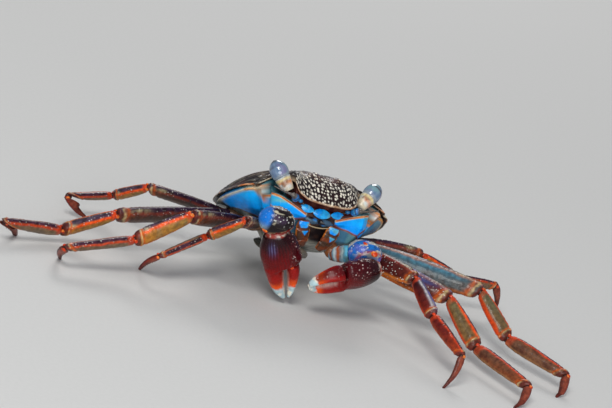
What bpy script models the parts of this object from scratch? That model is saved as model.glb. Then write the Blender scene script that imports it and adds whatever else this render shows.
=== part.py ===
"""A young Sally Lightfoot crab (Grapsus), life size, standing with its face lifted.

The crab faces -Y, its right side is -X, and its eight feet stand on the plane z = 0.
Lengths are millimetres, angles are degrees, and UNIT turns a length into Blender's metres.
The body is modelled in its own frame: x to the crab's left, f forward, w up, measured
from the middle of the carapace at the height of the outer orbital teeth.
"""

import math

import bmesh
import bpy
from mathutils import Vector

# ---- driving dimensions -------------------------------------------------------------
CARAPACE_WIDTH = 50.0           # changing this one scales the whole crab
UNIT = 0.001 * CARAPACE_WIDTH / 50.0
GAP = 0.3                       # clear space between neighbouring pieces
MERGE = 0.0000005               # metres within which a cut takes a point as lying on it
BODY_PLACE = (6.90, 22.67, 23.5)         # middle of the body above the middle of the footprint
BODY_PITCH = 26.0               # the face is lifted by this angle

# ---- carapace -----------------------------------------------------------------------
# Margin of the left half, from the middle of the front to the middle of the rear edge.
CARAPACE_MARGIN = (
    (0.0, 21.7, -3.5),          # middle of the front
    (6.0, 21.0, -2.9),
    (8.9, 19.4, -1.0),
    (9.8, 17.2, 1.8),           # inner corner of the orbit
    (13.0, 12.7, 3.0),          # back of the orbit
    (16.8, 12.9, 1.5),
    (18.9, 15.2, 0.0),          # outer orbital tooth
    (20.5, 12.5, -0.8),
    (22.2, 11.4, -1.2),         # tooth behind the orbit
    (24.1, 6.0, -2.3),
    (25.0, 0.0, -3.4),          # widest place
    (24.0, -7.5, -4.2),
    (20.6, -14.6, -4.5),
    (15.4, -20.4, -4.4),
    (9.0, -24.0, -4.2),         # rear corner
    (0.0, -24.6, -3.6),
)
DOME_HEIGHT = 6.8               # top of the back above the orbital teeth
DOME_POWER_FRONT = 5.2          # a high power holds the dome flat, then drops it steeply
DOME_POWER_SIDE = 3.0
PLATE_EDGE = 0.5                # thickness of the shell at its margin
PLATE_MIDDLE = 1.6              # and in the middle
LOBES = ((3.5, 15.2, 1.7, 0.9), (9.6, 14.2, 1.9, 1.0))   # x, f, spread, height
MARGIN_COLUMNS = 56
CARAPACE_RINGS = (0.22, 0.42, 0.58, 0.70, 0.80, 0.90, 0.96, 1.0)
PLATE_RINGS = (0.97, 0.80, 0.55, 0.25)

COLUMN_CROWDING = 0.38          # share of the columns' spacing that crowds toward the face

# ---- underside of the body ----------------------------------------------------------
FACE_FORWARD = 16.9             # front wall of the face, forward of the middle
CHEEK_RADIUS = 21.4             # farthest corner of the cheek from the middle
ORBIT_FROM, ORBIT_TO = 31.0, 51.0        # angles of the orbit round the body's middle
ORBIT_DEPTH = 2.6
FACE_ANGLE = 24.0               # half angle of the epistome and mouth
UNDER_ROOF = 0.6                # from the underside of the shell plate to the body's top
# Walls under the margin, one row a ring: how far inside the outline, and the level.
# Each is a value for the cheeks, and what the face, the sides and the rear add to it.
UNDERSIDE = (
    ((0.6, 0.0, 4.4, 2.0), (-6.4, -0.6, -0.4, 0.8)),
    ((1.6, 2.0, 8.4, 1.5), (-8.3, 0.0, -0.1, 0.5)),
    ((4.4, 1.6, 9.4, 0.0), (-11.2, -0.8, 0.0, 0.0)),
)
STERNUM = -13.4                 # lowest level of the breastplate
STERNUM_SHARE = 0.38            # size of the breastplate's flat
ABDOMEN_LENGTH = 23.0
ABDOMEN_WIDTH = 14.5
ABDOMEN_THICKNESS = 1.5
ABDOMEN_ROOT = -17.5            # rear end of the folded tail
ABDOMEN_DROP = 1.6              # how far its middle is below the breastplate
ABDOMEN_RISE = 4.6              # how far it climbs to the rear
# Share of the length, share of the width, and how far it bulges down.
ABDOMEN_SHAPE = ((0.0, 0.62, 0.0), (0.12, 0.95, 0.0), (0.4, 1.0, 0.1),
                 (0.7, 0.72, 0.1), (0.92, 0.4, 0.0), (1.0, 0.18, 0.0))

# ---- eyes and feelers ---------------------------------------------------------------
EYE_BASE = (10.9, 16.6, -0.8)
EYE_NECK = (13.4, 15.8, 2.5)
EYE_TIP = (16.5, 14.9, 6.7)
STALK_SHAPE = ((0.0, 2.8, 2.8), (0.35, 3.7, 3.7), (0.75, 4.3, 4.3), (1.0, 4.5, 4.5))
CORNEA_SHAPE = ((0.0, 4.6, 4.5), (0.22, 5.3, 5.2), (0.50, 5.2, 5.0), (0.75, 4.0, 3.9),
                (0.92, 2.2, 2.2))
EYE_SIDES = 12
ANTENNA_PATH = ((9.0, 17.2, -2.7), (9.3, 18.3, -2.5), (10.4, 19.1, -2.2), (13.2, 19.0, -1.7),
                (16.2, 18.3, -0.8))
ANTENNA_WIDTHS = (2.0, 2.2, 1.4, 0.8, 0.6)
ANTENNA_SIDES = 8

# ---- mouthparts ---------------------------------------------------------------------
MAXILLIPED_PATH = ((4.7, 16.3, -7.9), (4.5, 15.8, -9.3), (4.1, 14.9, -11.2), (3.4, 13.6, -13.0),
                   (2.6, 12.0, -14.4))
MAXILLIPED_WIDTHS = (2.6, 4.3, 4.1, 3.6, 2.2)
MAXILLIPED_THICKNESS = 1.3

# ---- walking legs -------------------------------------------------------------------
# Each leg number: where the leg leaves the body (x, f, w), the lengths of merus,
# carpus, propodus and dactyl, and how stout it is.
LEGS = {
    2: ((14.6, 5.2, -10.6), (24.5, 13.5, 17.0, 10.5), 0.86),
    3: ((15.2, 1.2, -10.2), (34.0, 17.0, 21.5, 11.0), 1.00),
    4: ((19.5, -4.9, -8.0), (40.0, 16.0, 20.5, 11.0), 1.04),
    5: ((18.8, -9.8, -7.4), (25.0, 13.5, 15.0, 10.5), 0.88),
}
# Each leg's stance: forward swing of its plane, tilt of the plane, the angles of its
# four segments above the horizontal, and how far the shank bends forward.
STANCES = {
    ("R", 2): (43.0, 47.0, (24.0, -95.0, -26.0, -111.0), 6.0),
    ("R", 3): (35.0, 35.0, (11.0, -45.0, -17.0, -128.0), -6.0),
    ("R", 4): (25.0, 33.0, (-5.0, -34.0, 3.0, -142.0), -2.0),
    ("R", 5): (-4.0, 49.0, (9.0, -60.0, 16.0, -150.0), 20.0),
    ("L", 2): (58.0, -30.0, (4.0, -28.0, -30.0, -80.0), 6.0),
    ("L", 3): (37.0, -40.0, (-3.0, -37.0, -50.0, -92.0), 18.0),
    ("L", 4): (29.0, -38.0, (1.0, -40.0, -46.0, -92.0), 12.0),
    ("L", 5): (2.0, 4.0, (3.0, -20.0, -8.0, -68.0), -12.0),
}
# Height and thickness of each segment along its length: (share of length, height, thickness)
SEGMENT_SHAPES = {
    "merus": ((0.0, 3.3, 2.6), (0.14, 4.6, 2.9), (0.45, 6.5, 3.1), (0.78, 6.3, 3.3),
              (0.93, 5.4, 3.5), (1.0, 4.2, 3.0)),
    "carpus": ((0.0, 3.1, 2.4), (0.22, 4.2, 3.1), (0.60, 5.0, 3.3), (0.88, 4.9, 3.3),
               (1.0, 3.7, 2.7)),
    "propodus": ((0.0, 3.2, 2.3), (0.20, 4.2, 2.7), (0.60, 3.9, 2.5), (0.90, 3.2, 2.3),
                 (1.0, 2.5, 1.9)),
    "dactyl": ((0.0, 2.3, 1.7), (0.20, 2.5, 1.9), (0.60, 1.8, 1.5), (0.90, 1.2, 1.1),
               (1.0, 0.9, 0.9)),
}
LEG_SEGMENTS = ("merus", "carpus", "propodus", "dactyl")
SEGMENT_RINGS = {"merus": 7, "carpus": 5, "propodus": 5, "dactyl": 5}
SETTLE_RANGE = 30.0             # how far a propodus may turn to bring its foot to the floor
SETTLE_STEPS = 40
LEG_SIDES = 10
KEEL = 0.35                     # how much the upper edge of a segment narrows to a ridge
END_CROWDING = 0.08             # draws a segment's rings toward its ends
DACTYL_ARCH = 0.8               # how far the middle of a dactyl bows outward

# ---- claws --------------------------------------------------------------------------
# Places from the point of the floor below the body's middle. The arm runs from its root
# to the elbow, the wrist is a knuckle round its middle, and the palm runs from its root
# to the tips of the fingers. Each joint is a thin cut: a point and the outward direction.
# The gape is how far each finger bows away from the other halfway to the tips.
CLAWS = {
    "R": dict(arm=((-6.6, -16.8, 15.0), (-14.4, -22.4, 23.0)),
              elbow_cut=((-14.2, -22.3, 22.9), (-0.68, -0.50, 0.53)),
              wrist=(-16.2, -27.0, 24.4),
              wrist_cut=((-15.4, -27.3, 21.9), (0.45, 0.10, -0.89)),
              palm=((-15.4, -27.3, 21.9), (-4.4, -23.4, 2.2)),
              toward_dactyl=(1.0, -0.15, 0.4), gape=0.22),
    "L": dict(arm=((6.6, -16.8, 15.0), (11.4, -19.8, 17.6)),
              elbow_cut=((11.2, -19.6, 17.5), (0.77, -0.48, 0.42)),
              wrist=(14.4, -21.4, 19.0),
              wrist_cut=((15.2, -24.6, 18.4), (0.10, -0.95, -0.30)),
              palm=((17.6, -27.6, 17.8), (-1.4, -29.4, 8.8)),
              toward_dactyl=(0.0, -0.60, 0.80), gape=1.10),
}
# Share of the length, height, thickness, and how far the ring is moved toward the dactyl.
ARM_SHAPE = ((0.0, 3.2, 2.8), (0.3, 4.4, 3.6), (0.7, 5.0, 4.3), (1.0, 4.6, 4.2))
WRIST_SIZE = (10.4, 8.1, 8.2)    # along the hinge line, high, deep
WRIST_RINGS = (0.03, 0.12, 0.30, 0.50, 0.70, 0.88, 0.97)
PALM_SHAPE = ((0.0, 5.2, 4.2, 0.0), (0.07, 7.8, 5.9, 0.0), (0.20, 10.4, 7.2, 0.1),
              (0.34, 11.1, 7.4, 0.15), (0.50, 10.3, 6.5, 0.15), (0.535, 5.4, 5.9, -2.20),
              (0.62, 4.9, 5.3, -2.05), (0.78, 3.7, 4.1, -1.80), (0.90, 2.9, 3.1, -1.40),
              (1.0, 1.3, 1.6, -0.75))
DACTYL_SHAPE = ((0.545, 3.7, 4.7, 3.05), (0.62, 3.6, 4.9, 3.05), (0.76, 2.9, 3.9, 2.50),
                (0.87, 2.3, 3.0, 1.90), (0.95, 1.8, 2.4, 1.35), (1.0, 1.0, 1.4, 0.85))
FINGERS_FROM = 0.54             # share of the palm's length where the fingers part
CLAW_SIDES = 14

# ---- colours ------------------------------------------------------------------------
FINISHES = {                    # red, green, blue, roughness
    "shell": (0.045, 0.018, 0.020, 0.35),
    "cheek": (0.02, 0.22, 0.55, 0.35),
    "belly": (0.30, 0.27, 0.22, 0.50),
    "claw": (0.10, 0.008, 0.010, 0.22),
    "leg": (0.16, 0.035, 0.020, 0.38),
    "stalk": (0.16, 0.20, 0.26, 0.30),
    "cornea": (0.05, 0.09, 0.16, 0.08),
    "mouth": (0.10, 0.05, 0.03, 0.40),
}


# ---- small helpers ------------------------------------------------------------------
def clear_scene():
    for thing in list(bpy.data.objects):
        bpy.data.objects.remove(thing, do_unlink=True)


def make_material(name, finish):
    """One piece's own material, with the colour and gloss of its kind of shell."""
    red, green, blue, rough = FINISHES[finish]
    material = bpy.data.materials.new(name)
    material.use_nodes = True
    shader = material.node_tree.nodes["Principled BSDF"]
    shader.inputs["Base Color"].default_value = (red, green, blue, 1.0)
    shader.inputs["Roughness"].default_value = rough
    shader.inputs["Metallic"].default_value = 0.0
    return material


def smooth(value, low, high):
    """Rises smoothly from 0 at low to 1 at high."""
    share = min(1.0, max(0.0, (value - low) / (high - low)))
    return share * share * (3.0 - 2.0 * share)


def curve_through(keys, at):
    """Smooth value at the given place of a curve through (place, value) pairs."""
    last = len(keys) - 1
    index = 0
    while index < last - 1 and at > keys[index + 1][0]:
        index += 1
    (x0, y0), (x1, y1) = keys[index], keys[index + 1]
    before = keys[max(index - 1, 0)]
    after = keys[min(index + 2, last)]
    span = x1 - x0
    slope0 = (y1 - before[1]) / (x1 - before[0]) * span if x1 > before[0] else 0.0
    slope1 = (after[1] - y0) / (after[0] - x0) * span if after[0] > x0 else 0.0
    s = min(1.0, max(0.0, (at - x0) / span))
    return ((2 * s**3 - 3 * s**2 + 1) * y0 + (s**3 - 2 * s**2 + s) * slope0
            + (3 * s**2 - 2 * s**3) * y1 + (s**3 - s**2) * slope1)


def cut_away(work, origin, cut):
    """Removes what lies beyond a plane, on the side its direction points to, and closes the cut."""
    place, outward = Vector(cut[0]), Vector(cut[1]).normalized()
    everything = list(work.verts) + list(work.edges) + list(work.faces)
    bmesh.ops.bisect_plane(work, geom=everything, dist=MERGE, plane_co=(place - origin) * UNIT,
                           plane_no=outward, clear_outer=True)
    rim = [edge for edge in work.edges if edge.is_boundary]
    if rim:
        bmesh.ops.contextual_create(work, geom=rim)


def new_object(name, grid, caps, finish, parent, origin, cuts=()):
    """Makes one closed body from rings of points, with a centre point or a flat at each end."""
    mesh = bpy.data.meshes.new(name)
    work = bmesh.new()
    rows = [[work.verts.new((point - origin) * UNIT) for point in ring] for ring in grid]
    for row, above in zip(rows, rows[1:]):
        count = len(row)
        for i in range(count):
            j = (i + 1) % count
            work.faces.new((row[i], row[j], above[j], above[i]))
    for row, cap, turned in ((rows[0], caps[0], True), (rows[-1], caps[1], False)):
        order = list(reversed(row)) if turned else list(row)
        if cap is None:
            work.faces.new(order)
            continue
        middle = work.verts.new((cap - origin) * UNIT)
        for i, vert in enumerate(order):
            work.faces.new((vert, order[(i + 1) % len(order)], middle))
    for cut in cuts:
        cut_away(work, origin, cut)
    bmesh.ops.recalc_face_normals(work, faces=work.faces)
    bmesh.ops.triangulate(work, faces=work.faces)
    work.to_mesh(mesh)
    work.free()
    mesh.shade_smooth()
    mesh.materials.append(make_material(name, finish))
    thing = bpy.data.objects.new(name, mesh)
    thing.location = origin * UNIT
    thing.parent = parent
    bpy.context.collection.objects.link(thing)
    return thing


# ---- body frame ---------------------------------------------------------------------
def body_point(x, f, w):
    """A point of the body frame, as a local point of the tilted body empty."""
    return Vector((x, -f, w))


def body_to_stand(x, f, w):
    """The same point in the upright frame of the standing crab."""
    pitch = math.radians(BODY_PITCH)
    return Vector((
        BODY_PLACE[0] + x,
        BODY_PLACE[1] - f * math.cos(pitch) + w * math.sin(pitch),
        BODY_PLACE[2] + f * math.sin(pitch) + w * math.cos(pitch),
    ))


# ---- carapace -----------------------------------------------------------------------
RADIUS_KEYS = tuple((math.degrees(math.atan2(x, f)), math.hypot(x, f)) for x, f, w in CARAPACE_MARGIN)
HEIGHT_KEYS = tuple((math.degrees(math.atan2(x, f)), w) for x, f, w in CARAPACE_MARGIN)


def dome(angle, share):
    """Height of the back at a share of the way out to the margin."""
    turn = abs(angle)
    edge = curve_through(HEIGHT_KEYS, turn)
    power = DOME_POWER_SIDE + (DOME_POWER_FRONT - DOME_POWER_SIDE) * (1.0 - smooth(turn, 25, 60))
    return edge + (DOME_HEIGHT - edge) * (1.0 - share**power)


def lobes(x, f):
    """The four low knobs along the top of the front."""
    total = 0.0
    for lobe_x, lobe_f, spread, height in LOBES:
        away = ((abs(x) - lobe_x)**2 + (f - lobe_f)**2) / spread**2
        total += height * math.exp(-away)
    return total


def back_point(angle, share, depth=0.0):
    """A point of the carapace, or of the surface a depth below it."""
    radius = curve_through(RADIUS_KEYS, abs(angle)) * share
    x = radius * math.sin(math.radians(angle))
    f = radius * math.cos(math.radians(angle))
    return body_point(x, f, dome(angle, share) + lobes(x, f) * (1.0 - share**8) - depth)


def margin_angles():
    """Angles of the columns round the body, closer together across the face."""
    half = MARGIN_COLUMNS // 2
    rear = []
    for i in range(half + 1):
        share = i / half
        rear.append(180.0 * ((1 - COLUMN_CROWDING) * share + COLUMN_CROWDING * share**2.2))
    return [-angle for angle in reversed(rear[1:-1])] + rear


def plate_depth(share):
    return PLATE_MIDDLE + (PLATE_EDGE - PLATE_MIDDLE) * share**2


def make_carapace(parent):
    angles = margin_angles()
    grid = [[back_point(a, share) for a in angles] for share in CARAPACE_RINGS]
    grid += [[back_point(a, share, plate_depth(share)) for a in angles] for share in PLATE_RINGS]
    caps = (back_point(0, 0), back_point(0, 0, plate_depth(0)))
    new_object("carapace", grid, caps, "shell", parent, Vector((0, 0, 0)))


# ---- underside ----------------------------------------------------------------------
def cheek_radius(angle):
    """Outline of the body below the carapace: flat across the face, then the margin."""
    turn = abs(angle)
    margin = curve_through(RADIUS_KEYS, turn) - PLATE_EDGE
    face = FACE_FORWARD / math.cos(math.radians(min(turn, 60.0)))
    front = face + (min(face, CHEEK_RADIUS) - face) * smooth(turn, 26, 38)
    return front + (margin - front) * smooth(turn, 46, 54)


def orbit_share(angle):
    turn = abs(angle)
    return smooth(turn, ORBIT_FROM - 4, ORBIT_FROM + 5) * (1.0 - smooth(turn, ORBIT_TO - 6, ORBIT_TO + 1))


def under_shell(angle, share):
    """Level of the body's top, just below the shell plate."""
    return dome(angle, share) - plate_depth(share) - UNDER_ROOF


def underside_rings(angle):
    """Points of one column, from under the carapace down to the breastplate."""
    turn = abs(angle)
    outer = cheek_radius(angle)
    margin = curve_through(RADIUS_KEYS, turn)
    edge = curve_through(HEIGHT_KEYS, turn)
    face = 1.0 - smooth(turn, FACE_ANGLE - 6, FACE_ANGLE + 8)
    side = smooth(turn, 44, 56)
    front = 1.0 - side
    rear = smooth(turn, 90, 125)
    inner = min(outer, margin - 1.2) - ORBIT_DEPTH * orbit_share(angle) - 0.7 * face
    share = inner / margin
    rim = (-3.9 + 2.6 * smooth(turn, 20, 48)) * front + (edge - PLATE_EDGE - GAP) * side
    column = [
        (inner * 0.5, under_shell(angle, share * 0.5)),
        (inner * 0.8, under_shell(angle, share * 0.8)),
        (inner, under_shell(angle, share)),
        (inner - 0.3 * front, rim + 0.5 * front - 0.3),
        (outer - 0.3 * front - 0.9 * side, rim - 0.35 * front - 0.2 * side),
    ]
    for inset, level in UNDERSIDE:
        column.append((outer - inset[0] - inset[1] * face - inset[2] * side - inset[3] * rear,
                       level[0] + level[1] * face + level[2] * side + level[3] * rear))
    column.append((outer * STERNUM_SHARE, STERNUM))
    return column


def make_thorax(parent):
    angles = margin_angles()
    columns = [underside_rings(a) for a in angles]
    grid = []
    for level in range(len(columns[0])):
        ring = []
        for angle, column in zip(angles, columns):
            radius, w = column[level]
            turn = math.radians(angle)
            ring.append(body_point(radius * math.sin(turn), radius * math.cos(turn), w))
        grid.append(ring)
    top = body_point(0, 0, under_shell(0, 0))
    bottom = body_point(0, -2, STERNUM)
    new_object("thorax", grid, (top, bottom), "cheek", parent, Vector((0, 0, 0)))


def make_abdomen(parent):
    """The tail, folded flat under the body and tapering toward the mouth."""
    grid = []
    for share, width, bulge in ABDOMEN_SHAPE:
        f = ABDOMEN_ROOT + ABDOMEN_LENGTH * share
        rise = ABDOMEN_RISE * (1.0 - smooth(f, -21.0, -6.0))
        middle = STERNUM - ABDOMEN_DROP - bulge + rise
        half = ABDOMEN_WIDTH * width / 2
        ring = []
        for i in range(LEG_SIDES):
            turn = 2 * math.pi * i / LEG_SIDES
            ring.append(body_point(half * math.cos(turn), f, middle + ABDOMEN_THICKNESS / 2 * math.sin(turn)))
        grid.append(ring)
    new_object("abdomen", grid, (None, None), "belly", parent, Vector((0, 0, 0)))


# ---- round pieces along a path ------------------------------------------------------
def shape_at(shape, share):
    height = curve_through([(s, h) for s, h, t in shape], share)
    thickness = curve_through([(s, t) for s, h, t in shape], share)
    return height, thickness


def mitre(before, after):
    """Direction halfway between two segments, or the only one there is."""
    if before is None:
        return after
    if after is None:
        return before
    return (before + after).normalized()


def segment_grid(start, end, up, shape, planes, sides, rings, arch, keel, scale):
    """Rings of one limb segment whose ends lie on the given planes.

    Each plane is (point, normal); the rings near it lean so that the end ring lies in it.
    """
    along = (end - start).normalized()
    length = (end - start).length
    up = (up - along * up.dot(along)).normalized()
    side = along.cross(up)
    grid = []
    for ring_index in range(rings + 1):
        share = ring_index / rings
        share -= END_CROWDING * math.sin(2 * math.pi * share)
        height, thickness = shape_at(shape, share)
        middle = start + along * length * share + up * arch * math.sin(math.pi * share)
        leans = (1 - smooth(share, 0.0, 0.55), smooth(share, 0.45, 1.0))
        ring = []
        for i in range(sides):
            turn = 2 * math.pi * i / sides
            narrow = 1.0 - keel * max(0.0, math.sin(turn))**2
            offset = up * (math.sin(turn) * height / 2 * scale)
            offset += side * (math.cos(turn) * thickness / 2 * narrow * scale)
            point = middle + offset
            for (place, normal), end_point, lean in zip(planes, (start, end), leans):
                point += along * ((place - end_point - offset).dot(normal) / along.dot(normal) * lean)
            ring.append(point)
        grid.append(ring)
    return grid


# ---- walking legs -------------------------------------------------------------------
def leg_axes(side, swing, tilt):
    """Outward direction of the leg's plane and its upward direction."""
    a, t = math.radians(swing), math.radians(tilt)
    out = Vector((side * math.cos(a), -math.sin(a), 0.0))
    forward = out.cross(Vector((0, 0, 1))) * side
    up = Vector((0, 0, math.cos(t))) + forward * math.sin(t)
    return out, up


def leg_points(side, number, stance, shank_angle):
    """The five joints of a leg, from its root to the tip of its foot, and its plane's up."""
    root, lengths, _ = LEGS[number]
    swing, tilt, angles, bend = stance
    out, up = leg_axes(side, swing, tilt)
    normal = out.cross(up) * side
    b = math.radians(bend)
    points = [body_to_stand(side * root[0], root[1], root[2])]
    for index, (angle, length) in enumerate(zip(angles, lengths)):
        if index == 2:
            angle = shank_angle
        a = math.radians(angle)
        along = out * math.cos(a) + up * math.sin(a)
        if index >= 2:
            along = along * math.cos(b) + normal * math.sin(b)
        points.append(points[-1] + along * length)
    return points, up


def stand_on_floor(side, number, stance):
    """Turns the propodus until the tip of the foot is on the floor."""
    low = stance[2][2] - SETTLE_RANGE
    high = stance[2][2] + SETTLE_RANGE
    for _ in range(SETTLE_STEPS):
        middle = (low + high) / 2
        points, up = leg_points(side, number, stance, middle)
        if points[-1].z > 0.0:
            high = middle
        else:
            low = middle
    return points, up


def upper_side(along, plane_up, side):
    """Direction of a segment's upper edge: up in the leg's plane, or outward where it hangs."""
    outward = Vector((side, 0, 0))
    if along.z < -0.5:
        return outward - along * outward.dot(along) + plane_up * 0.2
    return plane_up - along * plane_up.dot(along)


def make_leg(side_name, number):
    side = 1 if side_name == "L" else -1
    stout = LEGS[number][2]
    points, plane_up = stand_on_floor(side, number, STANCES[side_name, number])
    directions = [(b - a).normalized() for a, b in zip(points, points[1:])]
    for index, segment in enumerate(LEG_SEGMENTS):
        start, end = points[index], points[index + 1]
        along = directions[index]
        before = directions[index - 1] if index else None
        after = directions[index + 1] if index + 1 < len(directions) else None
        first, last = mitre(before, along), mitre(along, after)
        planes = [(start + first * (GAP / 2 / along.dot(first)), first),
                  (end - last * (GAP / 2 / along.dot(last)), last)]
        if segment == "dactyl":
            planes[1] = (Vector((end.x, end.y, 0.0)), Vector((0, 0, -1)))
        arch = DACTYL_ARCH if segment == "dactyl" else 0.0
        up = upper_side(along, plane_up, side)
        grid = segment_grid(start, end, up, SEGMENT_SHAPES[segment], planes, LEG_SIDES,
                            SEGMENT_RINGS[segment], arch, KEEL, stout)
        name = f"leg{number - 1}_{side_name}_{segment}"
        new_object(name, grid, (None, None), "leg", None, start)


# ---- eyes, feelers and mouthparts ---------------------------------------------------
def straight_rings(start, end, up, shape, sides, trim_start=0.0, trim_end=0.0):
    """Upright rings at the places that a shape's rows name, with room left at the ends."""
    along = (end - start).normalized()
    length = (end - start).length
    up = (up - along * up.dot(along)).normalized()
    side = along.cross(up)
    grid = []
    for row in shape:
        share, height, thickness = row[:3]
        rise = row[3] if len(row) > 3 else 0.0
        reach = trim_start + (length - trim_start - trim_end) * share
        middle = start + along * reach + up * rise
        grid.append([
            middle + up * (math.sin(turn) * height / 2) + side * (math.cos(turn) * thickness / 2)
            for turn in (2 * math.pi * i / sides for i in range(sides))
        ])
    return grid


def path_rings(points, widths, thicknesses, flat, sides):
    """Rings across a path of points; flat is the direction of the thickness."""
    grid = []
    for index, point in enumerate(points):
        ahead = points[min(index + 1, len(points) - 1)] - points[max(index - 1, 0)]
        along = ahead.normalized()
        thin = (flat - along * flat.dot(along)).normalized()
        wide = along.cross(thin)
        grid.append([
            point + wide * (math.cos(turn) * widths[index] / 2)
            + thin * (math.sin(turn) * thicknesses[index] / 2)
            for turn in (2 * math.pi * i / sides for i in range(sides))
        ])
    return grid


def make_eye(side_name, body):
    side = 1 if side_name == "L" else -1
    base = body_point(side * EYE_BASE[0], *EYE_BASE[1:])
    neck = body_point(side * EYE_NECK[0], *EYE_NECK[1:])
    tip = body_point(side * EYE_TIP[0], *EYE_TIP[1:])
    up = Vector((0, 0, 1))
    stalk = straight_rings(base, neck, up, STALK_SHAPE, EYE_SIDES, trim_end=GAP / 2)
    new_object(f"eyestalk_{side_name}", stalk, (None, None), "stalk", body, base)
    cornea = straight_rings(neck, tip, up, CORNEA_SHAPE, EYE_SIDES, trim_start=GAP / 2)
    new_object(f"cornea_{side_name}", cornea, (None, tip), "cornea", body, neck)


def make_antenna(side_name, body):
    side = 1 if side_name == "L" else -1
    points = [body_point(side * x, f, w) for x, f, w in ANTENNA_PATH]
    grid = path_rings(points, ANTENNA_WIDTHS, ANTENNA_WIDTHS, Vector((0, 0, 1)), ANTENNA_SIDES)
    new_object(f"antenna_{side_name}", grid, (None, None), "stalk", body, points[0])


def make_maxilliped(side_name, body):
    side = 1 if side_name == "L" else -1
    points = [body_point(side * x, f, w) for x, f, w in MAXILLIPED_PATH]
    thick = [MAXILLIPED_THICKNESS] * len(points)
    grid = path_rings(points, MAXILLIPED_WIDTHS, thick, Vector((0, -1, -0.4)), LEG_SIDES)
    new_object(f"maxilliped_{side_name}", grid, (None, None), "mouth", body, points[0])


# ---- claws --------------------------------------------------------------------------
def claw_place(place):
    return Vector((BODY_PLACE[0] + place[0], BODY_PLACE[1] + place[1], place[2]))


def claw_cut(cut, facing):
    """A joint's cut, moved half a gap into the piece; facing is 1 or -1 along its direction."""
    outward = Vector(cut[1]).normalized() * facing
    return claw_place(cut[0]) - outward * GAP / 2, outward


def knuckle_rings(centre, along, up, size, sides):
    """Rings of an egg-shaped knuckle round its middle."""
    rows = []
    for share in WRIST_RINGS:
        swell = 2 * math.sqrt(share * (1 - share))
        rows.append((share, size[1] * swell, size[2] * swell))
    half = along.normalized() * size[0] / 2
    return straight_rings(centre - half, centre + half, up, rows, sides)


def bowed(shape, gape, direction):
    """A finger's shape with its middle moved outward, toward the dactyl or away from it."""
    rows = []
    for share, height, thickness, rise in shape:
        along_finger = max(0.0, (share - FINGERS_FROM) / (1.0 - FINGERS_FROM))
        rows.append((share, height, thickness, rise + direction * gape * math.sin(math.pi * along_finger)))
    return rows


def make_claw(side_name):
    claw = CLAWS[side_name]
    toward = Vector(claw["toward_dactyl"])
    root, elbow = (claw_place(place) for place in claw["arm"])
    arm = straight_rings(root, elbow, Vector((0, 0, 1)), ARM_SHAPE, CLAW_SIDES)
    cuts = [claw_cut(claw["elbow_cut"], 1)]
    new_object(f"claw_{side_name}_arm", arm, (None, None), "claw", None, root, cuts)
    middle = claw_place(claw["wrist"])
    hinge = Vector((toward.x + 0.6, toward.y * 0.4, toward.z * 0.1))
    wrist = knuckle_rings(middle, hinge, Vector((0, 0, 1)), WRIST_SIZE, CLAW_SIDES)
    cuts = [claw_cut(claw["elbow_cut"], -1), claw_cut(claw["wrist_cut"], 1)]
    new_object(f"claw_{side_name}_wrist", wrist, (None, None), "claw", None, middle, cuts)
    start, tip = (claw_place(place) for place in claw["palm"])
    palm = straight_rings(start, tip, toward, bowed(PALM_SHAPE, claw["gape"], -1), CLAW_SIDES)
    cuts = [claw_cut(claw["wrist_cut"], -1)]
    new_object(f"claw_{side_name}_palm", palm, (None, None), "claw", None, start, cuts)
    dactyl = straight_rings(start, tip, toward, bowed(DACTYL_SHAPE, claw["gape"], 1), CLAW_SIDES)
    new_object(f"claw_{side_name}_dactyl", dactyl, (None, None), "claw", None, start)


# ---- build --------------------------------------------------------------------------
def main():
    clear_scene()
    body = bpy.data.objects.new("body_frame", None)
    body.location = Vector(BODY_PLACE) * UNIT
    body.rotation_euler.x = -math.radians(BODY_PITCH)
    bpy.context.collection.objects.link(body)
    make_carapace(body)
    make_thorax(body)
    make_abdomen(body)
    for side_name in ("R", "L"):
        make_eye(side_name, body)
        make_antenna(side_name, body)
        make_maxilliped(side_name, body)
        make_claw(side_name)
    for side_name, number in STANCES:
        make_leg(side_name, number)


main()
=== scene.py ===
"""Looks of the young Sally Lightfoot crab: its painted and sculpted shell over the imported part.

Every shell piece of the part gets a finer skin of the same form: smooth lofts with grooves,
tubercles, ridges and knobs, coloured by rules from each point's place on the animal.
Lengths are millimetres and angles are degrees; MM turns a length into Blender's metres.
The crab faces -Y, its right side is -X, and its feet stand on z = 0. The body has its own
frame: x to the crab's left, f forward, w up, measured from the middle of the carapace.
"""

import math

import bmesh
import bpy
import numpy as np
from mathutils import Matrix, Vector


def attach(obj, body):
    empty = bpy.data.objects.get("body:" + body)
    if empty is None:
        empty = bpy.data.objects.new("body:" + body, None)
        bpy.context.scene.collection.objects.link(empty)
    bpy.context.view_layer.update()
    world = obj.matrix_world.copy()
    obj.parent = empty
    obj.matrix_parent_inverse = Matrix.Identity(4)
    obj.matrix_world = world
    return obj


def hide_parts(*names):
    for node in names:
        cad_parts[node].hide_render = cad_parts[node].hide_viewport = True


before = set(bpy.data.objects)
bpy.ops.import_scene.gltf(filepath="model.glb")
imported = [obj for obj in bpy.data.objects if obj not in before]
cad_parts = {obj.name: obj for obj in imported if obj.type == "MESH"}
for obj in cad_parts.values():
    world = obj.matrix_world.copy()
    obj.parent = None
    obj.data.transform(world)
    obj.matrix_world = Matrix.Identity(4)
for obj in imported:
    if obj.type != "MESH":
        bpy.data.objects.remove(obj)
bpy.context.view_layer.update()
MM = 0.001
SMALL = 1e-9                             # keeps a division from failing
SIDES = {"R": -1, "L": 1}

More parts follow.
